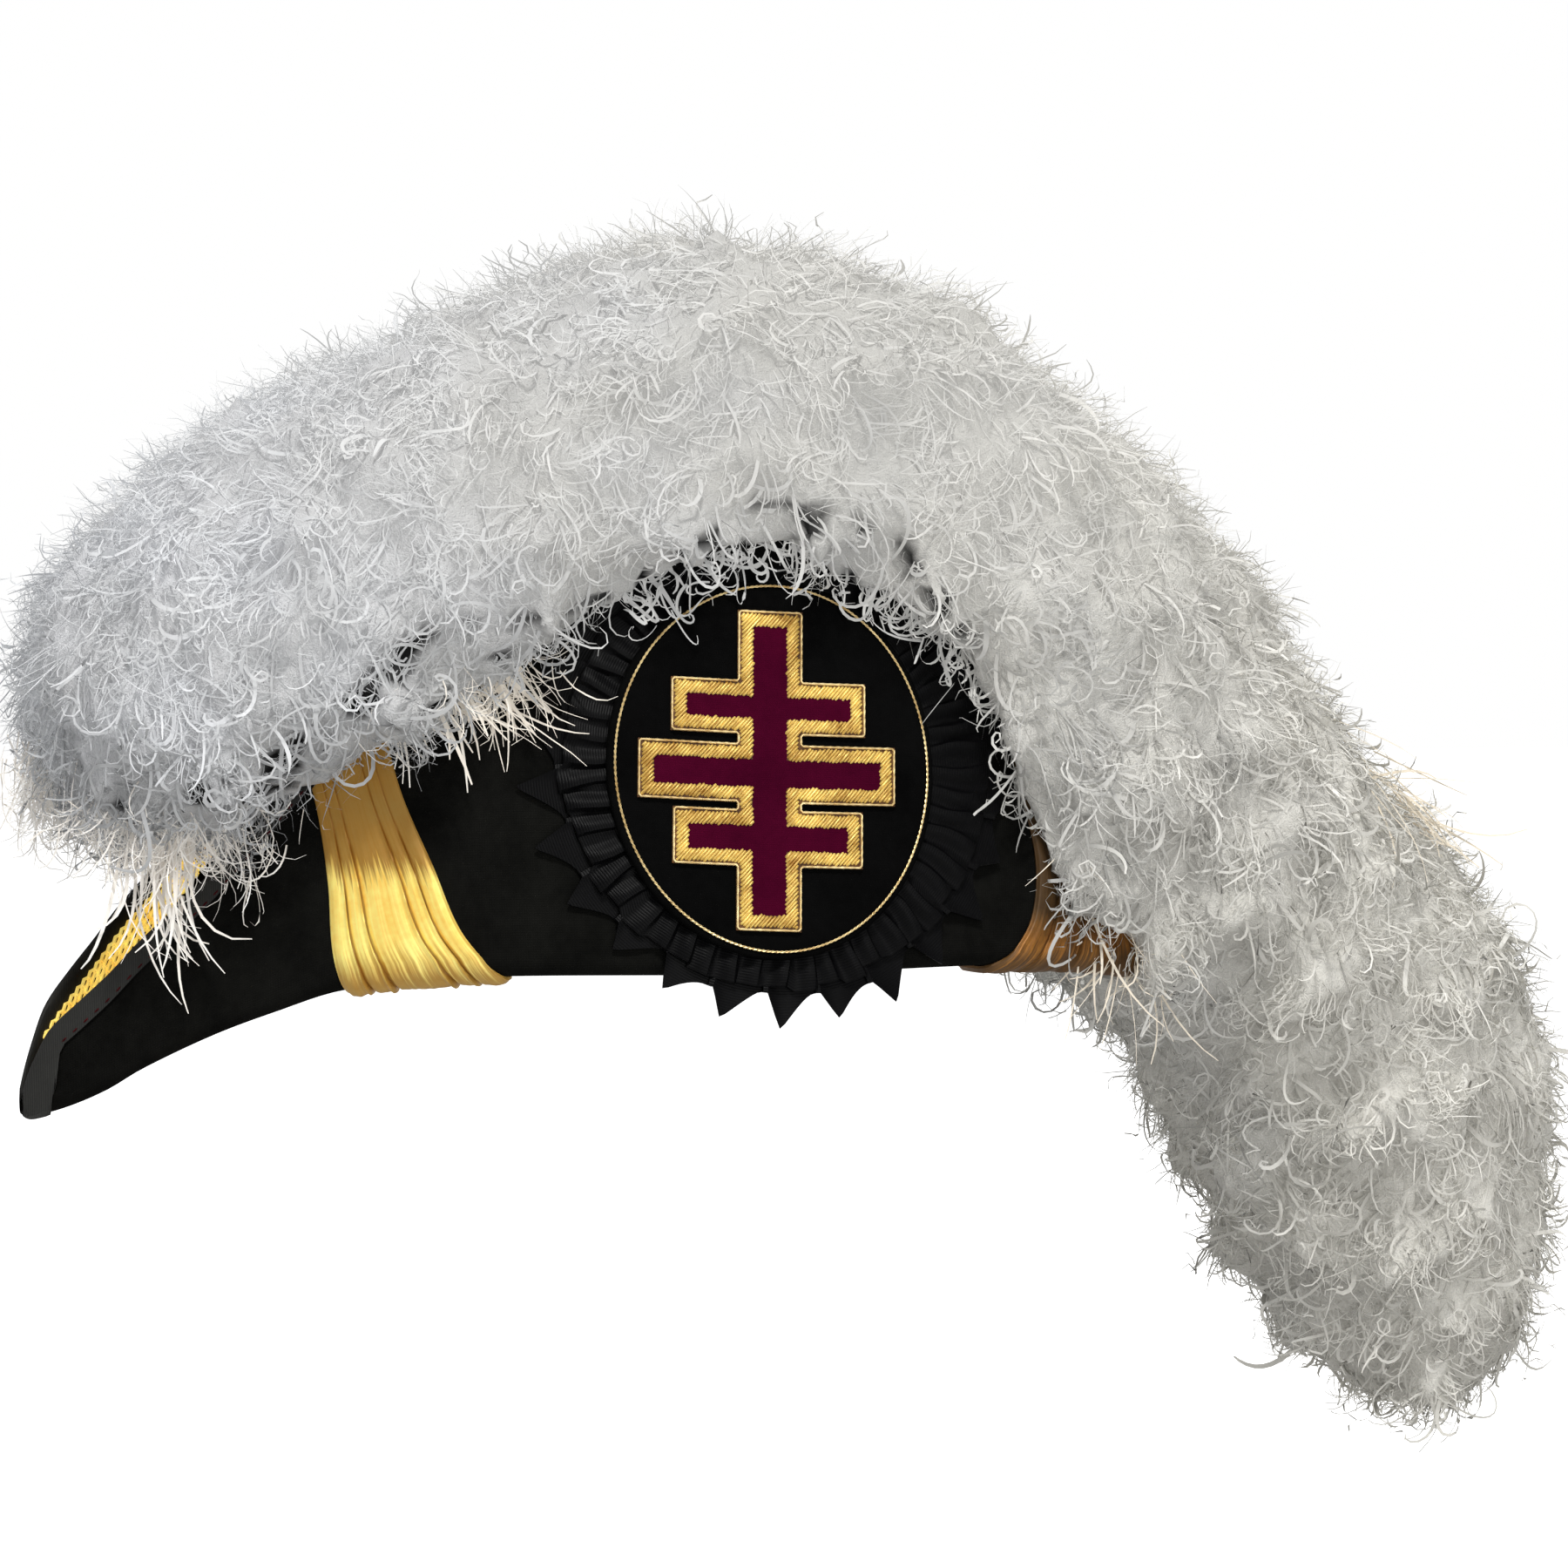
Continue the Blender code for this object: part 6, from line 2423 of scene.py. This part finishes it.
@dataclass(frozen=True)
class Studio:
    """The pale floor, the soft lights and the camera.

    The camera stands at a distance from its pivot, turned from straight at the left side towards the
    front peak, at its height's angle. It looks across and up from the pivot by two lengths.
    """

    low: float
    turn: float = math.radians(15.0)
    height: float = math.radians(5.0)
    distance: float = 1.3
    pivot: Triple = (0.0, -0.06, 0.0)
    across: float = 0.01116
    up: float = 0.05513
    lens: float = 98.8
    sensor: float = 36.0
    lit: Triple = (0.0, -0.03, 0.06)
    white: Colour = (1.0, 1.0, 0.998, 1.0)
    floor_dark: Colour = (0.66, 0.66, 0.657, 1.0)
    floor_light: Colour = (0.68, 0.68, 0.677, 1.0)
    floor_drop: float = 0.06
    floor_size: float = 14.0
    floor_glow: float = 0.95
    low_light: Colour = (0.12, 0.12, 0.12, 1.0)
    high_light: Colour = (0.34, 0.343, 0.35, 1.0)
    lights: tuple[Softbox, ...] = (
        Softbox("key", (-0.35, -1.25, 1.95), 0.36, 42.0, (1.0, 0.99, 0.97)),
        Softbox("fill", (0.4, -2.3, 0.35), 1.2, 14.0, (1.0, 0.995, 0.985)),
        Softbox("crown_light", (0.1, 0.9, 1.5), 1.0, 8.0, (1.0, 1.0, 1.0)),
    )

    @staticmethod
    def stand(name: str, data: bpy.types.ID, place: Vector, aim: Vector) -> bpy.types.Object:
        """Stands a camera or a light at a place.

        Args:
            name: Its name.
            data: What it is.
            place: Where it stands.
            aim: The point that it is turned to.

        Returns:
            The camera or the light.
        """
        item = add_object(name, data)
        item.location = place
        item.rotation_mode = "QUATERNION"
        item.rotation_quaternion = (aim - item.location).to_track_quat("-Z", "Y")
        return item

    def build_camera(self) -> None:
        """Places the camera at the photograph's angle."""
        level = math.cos(self.height)
        back = Vector((-math.sin(self.turn) * level, -math.cos(self.turn) * level, math.sin(self.height)))
        right = Vector((math.cos(self.turn), -math.sin(self.turn), 0.0))
        pivot = Vector(self.pivot)
        data = bpy.data.cameras.new("camera")
        data.lens = self.lens
        data.sensor_width = self.sensor
        aim = pivot + right * self.across + back.cross(right) * self.up
        camera = self.stand("camera", data, pivot + back * self.distance, aim)
        bpy.context.scene.camera = camera

    def build_lights(self) -> None:
        """Hangs the soft lights."""
        for box in self.lights:
            data = bpy.data.lights.new(box.name, "AREA")
            data.size = box.size
            data.energy = box.power
            data.color = box.tint
            self.stand(box.name, data, Vector(box.place), Vector(self.lit))

    def build_world(self) -> None:
        """Fills the room with even light, brighter above, and shows a white wall behind the hat."""
        world = bpy.data.worlds.new("room")
        world.use_nodes = True
        bpy.context.scene.world = world
        nodes = NodeTree(world.node_tree)
        way = nodes.add("ShaderNodeTexCoord").outputs["Generated"]
        rise = nodes.spread(nodes.parts(way)[2], -0.2, 0.8)
        shade = nodes.mix(rise, self.low_light, self.high_light)
        seen = nodes.add("ShaderNodeLightPath").outputs["Is Camera Ray"]
        nodes.put(nodes.tree.nodes["Background"], {"Color": nodes.mix(seen, shade, self.white)})

    def build_floor(self) -> None:
        """Lays the floor under the hat."""
        half = self.floor_size / 2
        level = self.low - self.floor_drop
        mesh = bpy.data.meshes.new("floor")
        corners = ((-half, -half), (half, -half), (half, half), (-half, half))
        mesh.from_pydata([(x, y, level) for x, y in corners], [], [(0, 1, 2, 3)])
        material, nodes, shader = start_material("floor")
        grain = nodes.noise(nodes.hat_place(), 3.0)
        seen = nodes.add("ShaderNodeLightPath").outputs["Is Camera Ray"]
        nodes.put(shader, {
            "Base Color": nodes.mix(grain, self.floor_dark, self.floor_light),
            "Emission Color": self.white,
            "Emission Strength": nodes.sum("MULTIPLY", seen, self.floor_glow),
            "Roughness": 0.9,
        })
        mesh.materials.append(material)
        floor = add_object("floor", mesh)
        floor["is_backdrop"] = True

    def build(self) -> None:
        """Sets up the studio."""
        self.build_camera()
        self.build_lights()
        self.build_world()
        self.build_floor()
        bpy.context.scene.view_settings.view_transform = "Standard"


def main() -> None:
    """Builds the hat and the studio."""
    logging.basicConfig(level=logging.INFO, format="%(message)s")
    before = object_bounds()
    form = HatForm.from_frame()
    rosette, patch = Rosette(form), Patch(form)
    TurnedUpSides(form).build()
    Skull(form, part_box("crown")[1].z).build()
    EdgeBinding(form).build()
    MeshLace(form).build()
    front = GoldBand(form, End.FRONT, FRONT_INNER, FRONT_OUTER, FRONT_CREASES, 3)
    rear = GoldBand(form, End.REAR, REAR_INNER, REAR_OUTER, REAR_CREASES, 5)
    for band in (front, rear):
        for hand in Hand:
            band.build(hand)
    rosette.build()
    patch.build()
    TripleBarCross(patch).build()
    Plume(form, rosette).build()
    Studio(low=before[0].z).build()


if __name__ == "__main__":
    main()
